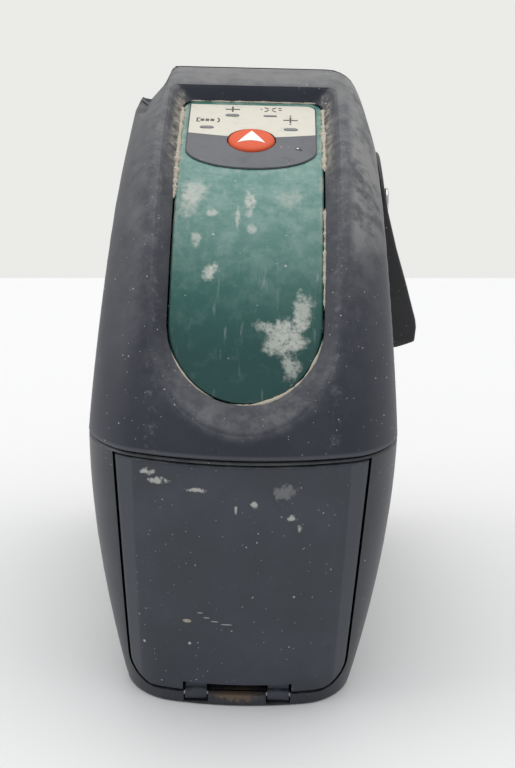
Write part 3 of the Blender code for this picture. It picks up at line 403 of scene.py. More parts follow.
# ---- materials ---------------------------------------------------------------------------------
class Look:
    """A Principled material with a few shorthands for its node graph."""

    def __init__(self, name, colour, roughness=0.5, metallic=0.0, **sockets):
        self.mat = bpy.data.materials.new(name)
        self.mat.use_nodes = True
        self.tree = self.mat.node_tree
        self.bsdf = self.tree.nodes["Principled BSDF"]
        self.where = self.tree.nodes.new("ShaderNodeTexCoord").outputs["Object"]
        self.colour, self.rough, self.bump = (*colour, 1), roughness, None
        self.bsdf.inputs["Metallic"].default_value = metallic
        for key, value in sockets.items():
            self.bsdf.inputs[key.replace("_", " ")].default_value = value

    def add(self, kind, ins=None, **props):
        node = self.tree.nodes.new("ShaderNode" + kind)
        for key, value in props.items():
            setattr(node, key, value)
        for key, value in (ins or {}).items():
            self.plug(node.inputs[key], value)
        return node

    def plug(self, socket, value):
        if isinstance(value, bpy.types.NodeSocket):
            self.tree.links.new(value, socket)
        elif value is not None:
            socket.default_value = value

    def math(self, op, a, b=None):
        return self.add("Math", {0: a, 1: b}, operation=op).outputs[0]

    def times(self, a, b):
        return self.math("MULTIPLY", a, b)

    def xyz(self):
        """Sideways, depth and height of the shaded point, in metres."""
        return self.add("SeparateXYZ", {"Vector": self.where}).outputs[:]

    def ramp(self, value, low, high, to_low=0.0, to_high=1.0):
        node = self.add("MapRange", {"Value": value, "From Min": low, "From Max": high, "To Min": to_low,
                                     "To Max": to_high}, interpolation_type="SMOOTHSTEP")
        return node.outputs["Result"]

    def mix(self, fac, a, b):
        return self.add("Mix", {0: fac, 6: a, 7: b}, data_type="RGBA").outputs[2]

    def scaled(self, factors):
        return self.add("VectorMath", {0: self.where, 1: factors}, operation="MULTIPLY").outputs[0]

    def noise(self, size_mm, detail=3.0, rough=0.55, vector=None):
        node = self.add("TexNoise", {"Vector": vector or self.where, "Scale": 1000.0 / size_mm,
                                     "Detail": detail, "Roughness": rough})
        return node.outputs["Fac"]

    def cloud(self, size_mm, detail, rough, low, high):
        """Noise that turns from black at low to white at high."""
        return self.ramp(self.noise(size_mm, detail, rough), low, high)

    def specks(self, cell_mm, radius_mm, share):
        """White where a share of the cells has a round speck of about that radius."""
        node = self.add("TexVoronoi", {"Vector": self.where, "Scale": 1000.0 / cell_mm})
        dots = self.ramp(node.outputs["Distance"], radius_mm / cell_mm * 1.25, radius_mm / cell_mm * 0.75)
        pick = self.add("SeparateColor", {"Color": node.outputs["Color"]}).outputs[0]
        return self.times(dots, self.math("LESS_THAN", pick, share))

    def facing_up(self, low, high):
        up = self.add("SeparateXYZ", {"Vector": self.add("NewGeometry").outputs["Normal"]}).outputs[2]
        return self.ramp(up, low, high)

    def blob(self, centre_mm, radius_mm, ragged=0.6, grain_mm=1.6, edge=0.25):
        """Ragged patch round a point; the radius may differ sideways and along the surface."""
        rx, rs = radius_mm
        away = self.add("VectorMath", {0: self.where, 1: tuple(c * MM for c in centre_mm)},
                        operation="SUBTRACT").outputs[0]
        away = self.add("VectorMath", {0: away, 1: (1000 / rx, 1000 / rs, 1000 / rs)},
                        operation="MULTIPLY").outputs[0]
        far = self.add("VectorMath", {0: away}, operation="LENGTH").outputs["Value"]
        rag = self.times(self.math("SUBTRACT", self.noise(grain_mm, 4.0, 0.65), 0.5), ragged * 2)
        return self.ramp(self.math("ADD", far, rag), 1.0, 1.0 - edge)

    def paint(self, mask, colour, roughness=None):
        """Lay a colour, and if given a roughness, over what is there."""
        self.colour = self.mix(mask, self.colour, colour if isinstance(colour, bpy.types.NodeSocket)
                               else (*colour, 1))
        if roughness is not None:
            blend = self.add("Mix", {0: mask, 2: self.rough, 3: roughness}, data_type="FLOAT")
            self.rough = blend.outputs[0]

    def wash(self, mask, strength, colour, roughness=None):
        """Paint at part strength."""
        self.paint(self.times(mask, strength), colour, roughness)

    def relief(self, height, depth_mm, strength=1.0):
        node = self.add("Bump", {"Height": height, "Distance": depth_mm * MM, "Strength": strength,
                                 "Normal": self.bump})
        self.bump = node.outputs["Normal"]

    def done(self):
        self.plug(self.bsdf.inputs["Base Color"], self.colour)
        self.plug(self.bsdf.inputs["Roughness"], self.rough)
        if self.bump is not None:
            self.plug(self.bsdf.inputs["Normal"], self.bump)
        return self.mat


DUST = (0.36, 0.355, 0.34)
PAINT = (0.62, 0.61, 0.57)
CAULK = (0.50, 0.45, 0.36)
ROOF_DUST = (0.1190, 0.1215)     # heights between which the dust of the roof sets in


def moulded(name, colour, roughness, dust=0.5, speck=0.5, grain=0.02):
    """Textured grey plastic with settled dust, tone changes and splashes of white paint."""
    look = Look(name, colour, roughness)
    tone = look.noise(14.0, 5.0, 0.6)
    look.paint(look.times(look.ramp(tone, 0.35, 0.75), 0.7), tuple(c * 1.5 + 0.003 for c in colour))
    film = look.times(look.facing_up(0.25, 1.0), look.cloud(4.0, 7.0, 0.72, 0.3, 0.8))
    look.paint(look.times(film, dust), DUST, 0.75)
    haze = look.cloud(1.1, 4.0, 0.7, 0.58, 0.85)
    look.paint(look.times(haze, 0.14 * dust + 0.03), DUST, 0.8)
    for cell, radius, share in ((5.5, 0.34, 0.16), (2.4, 0.15, 0.22), (1.3, 0.09, 0.2)):
        look.paint(look.times(look.specks(cell, radius, share * speck * 2), 0.7), PAINT, 0.8)
    look.relief(look.noise(0.35, 2.0, 0.5), grain, 0.6)
    return look


def on_panel(x, s, depth=RECESS_DEPTH):
    return tuple(float(v) for v in panel_point(x, s, depth))


def on_rear(x, z):
    return tuple(float(v) for v in march((x, -20.0, z), (0.0, -1.0, 0.0)))


# ---- finishes ----------------------------------------------------------------------------------
# dried paint and chalk on the insert: (x, s) in mm, half width, half length, strength
PATCHES = ((-11.8, 64.0, 3.4, 4.6, 0.75), (-7.6, 57.5, 1.5, 1.3, 0.8), (-11.2, 50.0, 1.2, 2.4, 0.7),
           (-7.7, 42.0, 1.9, 2.5, 1.0), (0.3, 60.5, 1.4, 4.2, 0.9), (-2.4, 56.0, 0.7, 3.6, 0.8),
           (0.8, 53.0, 1.2, 2.2, 0.7), (9.6, 27.5, 3.8, 5.0, 1.0), (11.8, 33.5, 2.6, 4.6, 0.85),
           (9.5, 20.5, 2.4, 3.6, 0.8), (3.6, 29.0, 2.2, 1.6, 0.7), (9.0, 62.0, 3.2, 3.6, 0.4),
           (6.8, 25.5, 3.6, 4.2, 0.85), (-13.0, 61.0, 2.4, 5.6, 0.6))


# Charcoal housing finish: real dust, filler and paint marks, with painted light on the upper left facet and
# painted highlights along the ridges and the seam edge.
def worn_and_painted_light_housing():
    look = moulded("worn_charcoal_painted_light", (0.021, 0.0235, 0.036), 0.46, 0.42, 1.3)
    x, y, z = look.xyz()
    wide = look.math("ABSOLUTE", x)
    high = look.ramp(z, ROOF_DUST[0], ROOF_DUST[1])
    roof = look.times(look.times(high, look.facing_up(0.6, 0.95)),
                     look.cloud(6, 7, 0.7, 0.15, 0.65))
    look.wash(roof, 0.85, (0.20, 0.20, 0.20), 0.8)
    band = look.times(look.ramp(y, 0.0330, 0.0345), look.cloud(5, 7, 0.7, 0.42, 0.7))
    look.wash(band, 0.45, (0.17, 0.165, 0.17), 0.8)
    # Painted light: the upper left outer facet is washed lighter, for the light that falls on it from above
    # and from the left.
    left = look.times(look.ramp(x, -0.0215, -0.0235), look.ramp(z, 0.072, 0.116))
    left = look.times(left, look.cloud(6, 7, 0.7, 0.35, 0.62))
    look.wash(left, 0.55, (0.13, 0.132, 0.135), 0.8)
    right = look.times(look.ramp(x, 0.0212, 0.0232), look.ramp(z, 0.089, 0.103))
    right = look.times(right, look.cloud(7, 7, 0.68, 0.33, 0.56))
    look.wash(right, 0.8, (0.26, 0.26, 0.255), 0.8)
    # Painted highlight: a patchy lighter line along the ridges round the recess.
    rim = look.times(look.ramp(wide, 0.0205, 0.0198), look.ramp(wide, 0.0168, 0.0188))
    rim = look.times(rim, look.cloud(2.2, 6, 0.7, 0.5, 0.7))
    look.wash(rim, 0.4, (0.20, 0.21, 0.22), 0.8)
    side = look.times(look.ramp(wide, 0.0192, 0.0172), look.ramp(wide, 0.0158, 0.0163))
    side = look.times(side, look.times(look.ramp(z, 0.104, 0.116),
                                                 look.ramp(z, ROOF_DUST[1], ROOF_DUST[0])))
    side = look.times(side, look.cloud(1.8, 8, 0.75, 0.38, 0.66))
    look.wash(side, 0.75, CAULK, 0.85)
    # Painted highlight: a lighter line along the lower edge of the housing, just above the rear seam.
    seam_highlight = look.times(look.ramp(z, 0.0597, 0.0591), look.ramp(y, 0.0, -0.02))
    look.wash(seam_highlight, 0.5, (0.11, 0.115, 0.125), 0.6)
    return look.done()


# Door finish: real paint and filler marks, with painted light on the side facets.
def worn_and_painted_light_door():
    look = moulded("worn_and_painted_light_door", (0.030, 0.035, 0.047), 0.42, 0.45, 1.3)
    x, _, z = look.xyz()
    # Painted light: the flat side facets outside the creases are washed lighter, for the light they catch.
    crease = look.ramp(z, 0.0, SEAM_Z * MM, CREASE_BASE * MM, CREASE_SEAM * MM)
    painted_light_facet = look.ramp(look.math("SUBTRACT", look.math("ABSOLUTE", x), crease), -0.0001, 0.0003)
    look.wash(painted_light_facet, 0.8, (0.052, 0.058, 0.072), 0.45)
    for px, pz, rx, rz in ((-19.6, 54.6, 3.2, 0.8), (-17.4, 53.0, 3.0, 0.9), (-9.2, 51.6, 2.4, 0.6),
                           (10.6, 45.6, 1.3, 0.8), (12.4, 43.0, 0.6, 1.1), (2.8, 48.6, 0.8, 1.2),
                           (-1.0, 47.6, 0.4, 1.3), (9.2, 51.4, 2.6, 2.4)):
        faint = 0.22 if rz > 2 else 0.7
        spot = look.times(look.blob(on_rear(px, pz), (rx, rz), 1.3, 1.1, 0.6), faint)
        look.paint(spot, PAINT, 0.8)
    look.paint(look.times(look.blob(on_rear(-11.0, 20.6), (1.1, 0.45), 0.3), 0.7), CAULK, 0.8)
    for px, pz, rx in ((-8.2, 22.8, 0.9), (-6.8, 21.7, 1.0), (-5.0, 20.9, 1.1), (-2.6, 20.3, 1.5)):
        look.paint(look.times(look.blob(on_rear(px, pz), (rx, 0.14), 0.3), 0.55), PAINT, 0.7)
    return look.done()


def worn_lower():
    look = moulded("worn_lower", (0.024, 0.026, 0.034), 0.4, 0.35, 0.6)
    dirt = look.blob((0.0, HINGE_Y - 1.0, 3.4), (6.6, 3.0), 0.9, 1.0, 0.5)
    look.wash(dirt, 0.9, (0.17, 0.12, 0.075), 0.9)
    return look.done()


def glossy_green():
    look = Look("glossy_green", (0.007, 0.060, 0.052), 0.3, Coat_Weight=0.35, Coat_Roughness=0.22)
    x, _, z = look.xyz()
    # Painted light and shade: the green darkens towards the bottom and lightens towards the top, for the
    # light from above.
    look.paint(look.ramp(z, 0.074, 0.108), (0.018, 0.165, 0.128), 0.36)
    haze = look.times(look.cloud(4.5, 9, 0.74, 0.38, 0.66), look.ramp(z, 0.078, 0.112))
    look.wash(haze, 0.66, (0.26, 0.38, 0.34), 0.6)
    low = look.times(look.cloud(3.4, 7, 0.7, 0.5, 0.75), 0.30)
    look.paint(low, (0.13, 0.21, 0.20), 0.6)
    grain = look.cloud(1.2, 6, 0.75, 0.28, 0.56)
    for px, ps, rx, rs, amount in PATCHES:
        patch = look.blob(on_panel(px, ps), (rx, rs), 1.1, 2.6, 0.6)
        look.paint(look.times(look.times(patch, grain), amount),
                   (0.50, 0.52, 0.47), 0.75)
    streak = look.noise(1.5, 4, 0.6, look.scaled((1.0, 0.16, 0.16)))
    look.paint(look.times(look.ramp(streak, 0.6, 0.74), 0.4), (0.30, 0.38, 0.36), 0.6)
    rim = look.ramp(look.math("ABSOLUTE", x), 0.0148, 0.0161)
    rim = look.times(rim, look.cloud(3, 5, 0.6, 0.42, 0.6))
    rim = look.times(rim, look.ramp(z, 0.085, 0.108))
    look.wash(rim, 0.5, CAULK, 0.8)
    for cell, radius, share in ((4.0, 0.26, 0.22), (1.9, 0.13, 0.3)):
        look.paint(look.times(look.specks(cell, radius, share), 0.6), PAINT, 0.7)
    look.relief(look.noise(2.5, 3, 0.5), 0.03, 0.5)
    return look.done()


def printed(name, colour, roughness=0.45, dirt=0.25):
    look = Look(name, colour, roughness)
    look.paint(look.times(look.cloud(3.0, 5, 0.65, 0.48, 0.75), dirt),
               tuple(c * 0.55 + 0.05 for c in colour), 0.7)
    look.paint(look.times(look.specks(1.6, 0.13, 0.22), dirt * 1.4), PAINT, 0.7)
    return look.done()


def soft_rubber(name, colour, roughness=0.42):
    look = Look(name, colour, roughness)
    look.paint(look.times(look.cloud(2.0, 4, 0.6, 0.5, 0.8), 0.25),
               tuple(min(c * 1.5 + 0.03, 1.0) for c in colour), 0.6)
    look.paint(look.times(look.specks(1.4, 0.09, 0.2), 0.5), PAINT, 0.7)
    look.relief(look.noise(0.3, 2, 0.5), 0.01, 0.5)
    return look.done()


def metal(name, colour, roughness=0.3, stain=0.15):
    look = Look(name, colour, roughness, 1.0)
    dull = look.cloud(3.0, 5, 0.6, 0.4, 0.75)
    look.paint(look.times(dull, stain), tuple(c * 0.45 for c in colour), roughness + 0.25)
    look.relief(look.noise(0.6, 2, 0.5, look.scaled((1.0, 1.0, 0.2))), 0.004, 0.4)
    return look.done()


def plain(name, colour, roughness=0.5, dirt=0.2, **sockets):
    look = Look(name, colour, roughness, **sockets)
    look.paint(look.times(look.cloud(5.0, 5, 0.6, 0.45, 0.8), dirt),
               tuple(c * 0.6 for c in colour), roughness + 0.15)
    return look.done()


def circuit_board():
    look = Look("circuit_board", (0.012, 0.12, 0.045), 0.35, Coat_Weight=0.4)
    grid = look.add("TexBrick", {"Vector": look.where, "Scale": 900.0, "Mortar Size": 0.03}).outputs["Fac"]
    look.wash(grid, 0.6, (0.03, 0.20, 0.08))
    look.paint(look.specks(2.2, 0.3, 0.3), (0.55, 0.50, 0.38), 0.3)
    return look.done()


def cell_wrap():
    look = Look("cell_wrap", (0.02, 0.022, 0.026), 0.3, Coat_Weight=0.3)
    z = look.xyz()[2]
    look.paint(look.ramp(z, 0.0418, 0.0422), (0.55, 0.30, 0.07), 0.3)
    look.paint(look.times(look.cloud(4, 4, 0.6, 0.5, 0.8), 0.2), (0.2, 0.2, 0.2))
    return look.done()


FINISH = {
    "charcoal_plastic": worn_and_painted_light_housing(), "door_plastic": worn_and_painted_light_door(), "lower_plastic": worn_lower(),
    "green_plastic": glossy_green(),
    "lever_plastic": moulded("lever_black", (0.010, 0.010, 0.012), 0.45, 0.22, 1.0, 0.05).done(),
    "black_gloss": plain("black_gloss", (0.006, 0.006, 0.007), 0.12, 0.3, Coat_Weight=0.5),
    "label_film": printed("label_cream", (0.66, 0.63, 0.54), 0.4, 0.3),
    "label_grey": printed("label_grey", (0.085, 0.09, 0.105), 0.42, 0.75),
    "label_line": printed("label_line", (0.012, 0.014, 0.016), 0.4, 0.2),
    "ink": printed("ink", (0.075, 0.065, 0.055), 0.5, 0.3),
    "white_ink": printed("white_ink", (0.85, 0.84, 0.82), 0.45, 0.08),
    "caulk": printed("caulk", CAULK, 0.85, 0.5),
    "red_rubber": soft_rubber("red_rubber", (0.70, 0.085, 0.018), 0.6),
    "clear_plastic": plain("clear_plastic", (0.62, 0.64, 0.63), 0.2, 0.1, Transmission_Weight=0.6),
    "pip": printed("pip", (0.17, 0.17, 0.175), 0.35, 0.3),
    "window_glass": plain("window_glass", (0.55, 0.60, 0.62), 0.03, 0.05, Transmission_Weight=0.85,
                          IOR=1.49),
    "rubber": soft_rubber("rubber", (0.012, 0.012, 0.012), 0.6),
    "steel": metal("steel", (0.55, 0.55, 0.56), 0.28, 0.3),
    "brass": metal("brass", (0.70, 0.48, 0.18), 0.28, 0.2),
    "copper": metal("copper", (0.72, 0.34, 0.19), 0.25, 0.2),
    "zinc": metal("zinc", (0.42, 0.43, 0.45), 0.42, 0.2),
    "aluminium": metal("aluminium", (0.66, 0.67, 0.69), 0.3, 0.1),
    "magnet": metal("magnet", (0.58, 0.58, 0.6), 0.15, 0.1),
    "circuit_board": circuit_board(), "cell_wrap": cell_wrap(),
    "white_plastic": plain("white_plastic", (0.72, 0.72, 0.69), 0.45, 0.15),
}


# ---- upper housing and window bezel ------------------------------------------------------------
N_SEAM, N_FRONT = 220, 100
CENTRE = np.array([0.0, 12.0, SEAM_Z])
LIP = 0.45                # width of the small chamfers along the seams
EDGE_SINK, EDGE_SOFT = 0.28, 0.75      # depth and width of the round along the ridge
LEAST_SINK = 0.004        # a shallower round is left out


def front_edge(level, shift=0.0, n=N_FRONT):
    """Edge of the cut plane on the skin, from the right over the roof to the left."""
    start = np.array([0, CUT_SEAM + shift, SEAM_Z])
    lean = (CUT_TOP - CUT_SEAM) / (HEIGHT - SEAM_Z)
    a = np.radians(np.linspace(90, -90, n + 1))
    return march(start, np.stack([np.sin(a), lean * np.cos(a), np.cos(a)], -1), level)


def seam_edge(level, end, n=N_SEAM, rear=True):
    """Skin on the seam plane between the corner at end and its mirror image."""
    a = abs(math.atan2(end[0], -(end[1] - CENTRE[1])))
    theta = np.linspace(-a, a if rear else a - 2 * np.pi, n + 1)
    return march(CENTRE, np.stack([np.sin(theta), -np.cos(theta), 0 * theta], -1), level)


def rear_loop(level):
    front = front_edge(level)
    return np.concatenate([seam_edge(level, front[0])[:-1], front[:-1]])


def between(start, a, b, share, level=0.0):
    """Skin points between two loops seen from start; share is one number or one per point."""
    a, b = a - start, b - start
    a = a / np.linalg.norm(a, axis=1)[:, None]
    b = b / np.linalg.norm(b, axis=1)[:, None]
    share = np.broadcast_to(share, len(a))[:, None]
    return march(start, a * (1 - share) + b * share, level)


def upper_housing():
    def outline(half, low, high):
        return capsule(half, low, high, CORNER_R, half * OVAL, N_SEAM, N_FRONT)

    mouth2 = outline(INSERT_HALF + PART_GAP, INSERT_LOW - PART_GAP, INSERT_HIGH + PART_GAP)
    ridge2 = outline(RIDGE_HALF, RIDGE_LOW, RIDGE_HIGH)
    mouth = panel_loop(mouth2, RECESS_DEPTH)
    ridge = panel_loop(ridge2, 0.0, roof=True)
    normal = panel_normal(ridge2[:, 1])
    width = np.linalg.norm(ridge - mouth, axis=1)
    rings = [panel_loop(mouth2, RECESS_DEPTH + 2.6), mouth]
    for share in (0.03, 0.12, 0.3, 0.5, 0.7, 0.8, 0.87, 0.93, 0.97, 1.0):
        sink = EDGE_SINK * np.exp(-(width * (1 - share) / EDGE_SOFT) ** 2)
        rings.append(mouth + (ridge - mouth) * share - normal * sink[:, None])
    outer, inner = rear_loop(0.0), rear_loop(-WALL)
    span_mm = np.linalg.norm(outer - ridge, axis=1)
    for away in (0.3, 0.65, 1.1, 1.8):
        sink = EDGE_SINK * np.exp(-(away / EDGE_SOFT) ** 2)
        level = -sink if sink > LEAST_SINK else 0.0
        rings.append(between(CENTRE, ridge, outer, away / span_mm, level))
    first, last = 2.6 / span_mm, 1 - LIP / span_mm
    rings += [between(CENTRE, ridge, outer, first + (last - first) * t) for t in np.linspace(0, 1, 46)]
    rings.append(rear_loop(-LIP))
    inner[:, 2] = np.maximum(inner[:, 2], SEAM_Z)
    ridge_in = panel_loop(ridge2, WALL + 0.4, roof=True)
    rings += [inner] + [between(CENTRE, ridge_in, inner, t, -WALL) for t in np.linspace(0.95, 0.12, 12)]
    under2 = mouth2 * 0.35 + ridge2 * 0.65
    rings.append(panel_loop(under2, RECESS_DEPTH + 1.4))
    ob = piece("housing_shell", rings_bm(rings, wrap=True), "charcoal_plastic", ["upper_housing"],
               smooth=30)
    cut(ob, rod_bm(LEVER_SEAT_R, (LEVER_SEAT, *PIVOT[1:]), (45, *PIVOT[1:]), 160))
    return cut(ob, rod_bm(SHAFT_BORE_R, (20, *PIVOT[1:]), (45, *PIVOT[1:]), 64))


WINDOW = (-17.0, 68.0, 17.0, 111.0)


def front_y(z):
    return FRONT_SEAM + (FRONT_TOP - FRONT_SEAM) * (z - SEAM_Z) / (HEIGHT - SEAM_Z)


def on_front(points, depth):
    p = np.asarray(points)
    return np.stack([p[:, 0], front_y(p[:, 1]) - depth, p[:, 1]], -1)


def window_bezel():
    middle = np.array([0.0, 30.0, 84.0])
    hole_mid = 86.0

    def outer_loop(level):
        edge = front_edge(level, 2 * PART_GAP, 130)
        seam = seam_edge(level, edge[-1], 110, rear=False)
        loop = np.concatenate([edge[:-1], seam[:-1]])
        loop[:, 2] = np.maximum(loop[:, 2], SEAM_Z)
        return loop

    def opening(loop, grow, depth):
        x0, z0, x1, z1 = WINDOW
        hole = spread(rounded(x0 - grow, z0 - grow, x1 + grow, z1 + grow, 5.0 + grow, 16), 960)
        around = np.unwrap(np.arctan2(hole[:, 1] - hole_mid, hole[:, 0]))
        order = np.argsort(np.mod(around, 2 * np.pi))
        hole, around = hole[order], np.mod(around, 2 * np.pi)[order]
        turns = np.concatenate([around - 2 * np.pi, around, around + 2 * np.pi])
        a = np.mod(np.arctan2(loop[:, 2] - hole_mid, loop[:, 0]), 2 * np.pi)
        at = np.stack([np.interp(a, turns, np.tile(hole[:, k], 3)) for k in (0, 1)], -1)
        return on_front(at, depth)

    outer, inner = outer_loop(0.0), outer_loop(-WALL)
    rim = opening(outer, 0.5, 0.0)
    rings = [opening(outer, 0.0, 0.5), opening(outer, 0.15, 0.15), rim]
    rings += [between(middle, rim, outer, t) for t in np.linspace(0.06, 0.97, 22)]
    rings += [outer_loop(-LIP), inner]
    rim_in = opening(inner, 0.0, WALL)
    rings += [between(middle, rim_in, inner, t, -WALL) for t in np.linspace(0.94, 0.06, 8)] + [rim_in]
    piece("front_bezel", rings_bm(rings, wrap=True), "black_gloss", ["window_bezel"])
    x0, z0, x1, z1 = WINDOW
    glass = rounded(x0 + 0.3, z0 + 0.3, x1 - 0.3, z1 - 0.3, 6.5, 16)
    small = rounded(x0 + 0.7, z0 + 0.7, x1 - 0.7, z1 - 0.7, 6.1, 16)
    rings = [on_front(small, 0.6), on_front(glass, 0.85), on_front(glass, 2.2)]
    piece("front_window", rings_bm(rings), "window_glass", ["window_pane"], smooth=20)
    out = rounded(x0 - 1.8, z0 - 1.8, x1 + 1.8, z1 + 1.8, 6.8, 16)
    ins = rounded(x0 + 1.6, z0 + 1.6, x1 - 1.6, z1 - 1.6, 3.4, 16)
    rings = [on_front(p, WALL + d) for p, d in ((out, 0.3), (out, 1.5), (ins, 1.5), (ins, 0.3))]
    piece("pane_gasket", rings_bm(rings, wrap=True), "rubber", ["window_gasket"])


# ---- lower housing and battery door ------------------------------------------------------------
DOOR_SOFT = 0.55


def lower_ring(z, level, n=260):
    theta = np.linspace(0, 2 * np.pi, n, endpoint=False)
    along = np.stack([np.sin(theta), -np.cos(theta), 0 * theta], -1)
    return march(np.stack([0 * theta, 0 * theta + 5.0, 0 * theta + z], -1), along, level)


def door_half(z, grow=0.0):
    """Half width of the door, with its lower corners rounded."""
    r, low = DOOR_CORNER + grow, DOOR_LOW - grow
    side = DOOR_HALF_LOW + (DOOR_HALF_TOP - DOOR_HALF_LOW) * np.clip(
        (z - low - r) / (DOOR_TOP - DOOR_LOW - DOOR_CORNER), 0, 1) + grow
    drop = np.clip(low + r - z, 0, r)
    return side - r + np.sqrt(r * r - drop * drop)


def door_loop(grow):
    turn = 1 - np.cos(np.linspace(0, np.pi / 2, 14))
    z = np.concatenate([DOOR_LOW - grow + (DOOR_CORNER + grow) * turn,
                        np.linspace(DOOR_LOW + 9, DOOR_TOP + grow, 12)])
    half = door_half(z, grow)
    right = list(zip(half, z))
    left = list(zip(-half, z))
    return right + left[::-1]


def lower_housing():
    top = LOWER_TOP
    heights = [0.5, 1.6, 3, 5, 7.5, 10, 13, 16, 19, 22, 26, 30, 34, 38, 42, 46, 50, 54, 56.6]
    rings = [lower_ring(0.6, -0.5) * (1, 1, 0), lower_ring(0.6, -0.2) * (1, 1, 0) + (0, 0, 0.16)]
    rings += [lower_ring(z, 0.0) for z in heights] + [lower_ring(top - LIP, 0.0),
                                                     lower_ring(top - LIP, -LIP) * (1, 1, 0) + (0, 0, top)]
    rings += [lower_ring(z, -WALL) for z in (top, 48, 36, 26, 18, 11, 7, 2.6)]
    ob = piece("lower_shell", rings_bm(rings), "lower_plastic", ["lower_housing"])
    boss = [rod_bm(BOSS_R, (*post, 1.0), (*post, 56.4)) for post in POSTS]
    boss.append(rod_bm(TRIPOD_BOSS_R, (0, TRIPOD_Y, 1.0), (0, TRIPOD_Y, 10.5), 96))
    boss.append(box_bm((-6.0, -51.3, 0.8), (6.0, -47.5, 4.7), None, 0.3))
    cut(ob, merged(*boss), "UNION")
    opening = rings_bm([[(x, y, z) for x, z in door_loop(0.5)] for y in (-70, -38.4)])
    tools = [opening, rod_bm(TRIPOD_BORE_R, (0, TRIPOD_Y, -2), (0, TRIPOD_Y, 14), 96)]
    tools += [rod_bm(WELL_R, (*post, -2), (*post, 44)) for post in POSTS]
    cut(ob, merged(*tools))
    tools = [rod_bm(SCREW_R, (*post, 43), (*post, 60)) for post in POSTS]
    tools += [box_bm((sx * HINGE_X - 2.65, -58, 0.45), (sx * HINGE_X + 2.65, -48.0, 5)) for sx in (-1, 1)]
    cut(ob, merged(*tools))
    cut(ob, rod_bm(PIN_R + 0.06, (-12.3, HINGE_Y, HINGE_Z), (12.3, HINGE_Y, HINGE_Z), 32))
    for sx in (-1, 1):
        cove = [(sx * COVE_X + dx, HINGE_Y - COVE_BACK, HINGE_Z + COVE_UP) for dx in (-COVE_HALF, COVE_HALF)]
        cut(ob, rod_bm(COVE_R, *cove, 64))
    return ob


def door_skin(x, z):
    """Rear skin with flat facets outside two creases."""
    t = np.clip((z - DOOR_LOW) / (DOOR_TOP - DOOR_LOW), 0, 1)
    half = door_half(z)
    crease = np.minimum(CREASE_BASE + (CREASE_SEAM - CREASE_BASE) * t, half - 1.2)

    def skin(at):
        start = np.stack([at, 0 * at - 20.0, z], -1)
        return march(start, np.array([0.0, -1.0, 0.0]))[..., 1]

    inside, edge = skin(crease), skin(half)
    out = np.clip((np.abs(x) - crease) / np.maximum(half - crease, 1e-6), 0, 1)
    return np.where(np.abs(x) < crease, skin(x), inside + (edge - inside) * out)


def battery_door():
    soft = DOOR_SOFT * (1 - np.cos(np.linspace(0, np.pi / 2, 5)))
    r = DOOR_CORNER
    z = np.concatenate([DOOR_LOW + soft, DOOR_LOW + r * (1 - np.cos(np.linspace(0.52, np.pi / 2, 12))),
                        np.linspace(DOOR_LOW + r, DOOR_TOP - DOOR_SOFT, 42)[1:-1], DOOR_TOP - soft[::-1]])
    t = np.clip((z - DOOR_LOW) / (DOOR_TOP - DOOR_LOW), 0, 1)
    half = door_half(z)
    crease = np.minimum(CREASE_BASE + (CREASE_SEAM - CREASE_BASE) * t, half - 1.2)
    inner = np.linspace(0, 1, 22)[:, None] * crease
    outer = crease + np.linspace(0.2, 1, 6)[:-1, None] * (half - DOOR_SOFT - crease)
    edge = half - soft[::-1, None]
    x = np.concatenate([inner, outer, edge])
    x = np.concatenate([-x[:0:-1], x]).T
    zz = np.broadcast_to(z[:, None], x.shape)
    away = np.minimum(np.minimum(door_half(zz) - np.abs(x), DOOR_TOP - zz), zz - DOOR_LOW)
    gap = np.clip(DOOR_SOFT - away, 0, DOOR_SOFT)
    sink = DOOR_SOFT - np.sqrt(np.maximum(DOOR_SOFT ** 2 - gap ** 2, 0))
    face = np.stack([x, door_skin(x, zz) + sink, zz], -1)
    back = np.stack([x, door_skin(x, zz) + DOOR_T, zz], -1)
    ob = piece("door_panel", slab_bm(face, back, flip=True), "door_plastic", ["battery_door"], "door", 22)
    cut(ob, box_bm((-NOTCH_X, -60, 0), (NOTCH_X, -40, NOTCH_Z)))
    tools = [box_bm((-6, -52.8, 54.6), (6, -50.0, 56.6), None, 0.3)]
    for sx in (-1, 1):
        x0, x1 = sx * HINGE_X - 2.35, sx * HINGE_X + 2.35
        tools.append(rod_bm(KNUCKLE_R, (x0, HINGE_Y, HINGE_Z), (x1, HINGE_Y, HINGE_Z), 48))
    cut(ob, merged(*tools), "UNION")
    straps = []
    for sx in (-1, 1):
        x0, x1 = sx * HINGE_X - 2.29, sx * HINGE_X + 2.29
        straps.append(box_bm((x0, HINGE_Y - 0.1, HINGE_Z), (x1, HINGE_Y + 0.7, NOTCH_Z + 1.4)))
    cut(ob, merged(*straps), "UNION")
    cut(ob, rod_bm(PIN_R + 0.08, (-13, HINGE_Y, HINGE_Z), (13, HINGE_Y, HINGE_Z), 32))
    return ob


# ---- control panel -----------------------------------------------------------------------------
BUTTON_TURN = panel_matrix(0, BUTTON_S, RECESS_DEPTH)
DOME = [(0, 1.05), (1.6, 1.035), (3.0, 0.96), (4.0, 0.85), (4.7, 0.7), (5.05, 0.5), (BUTTON_R, 0.15)]


def pill_bm(w, h, low, high, turn, n=14):
    """Slot shape with round ends, w long and h high."""
    r = h / 2
    loop = [(w / 2 - r + r * math.cos(a), r * math.sin(a)) for a in np.linspace(-np.pi / 2, np.pi / 2, n)]
    loop += [(-x, -y) for x, y in loop]
    bm = rings_bm([[(x, y, z) for x, y in loop] for z in (low, high)])
    bmesh.ops.transform(bm, matrix=turn, verts=bm.verts)
    return bm


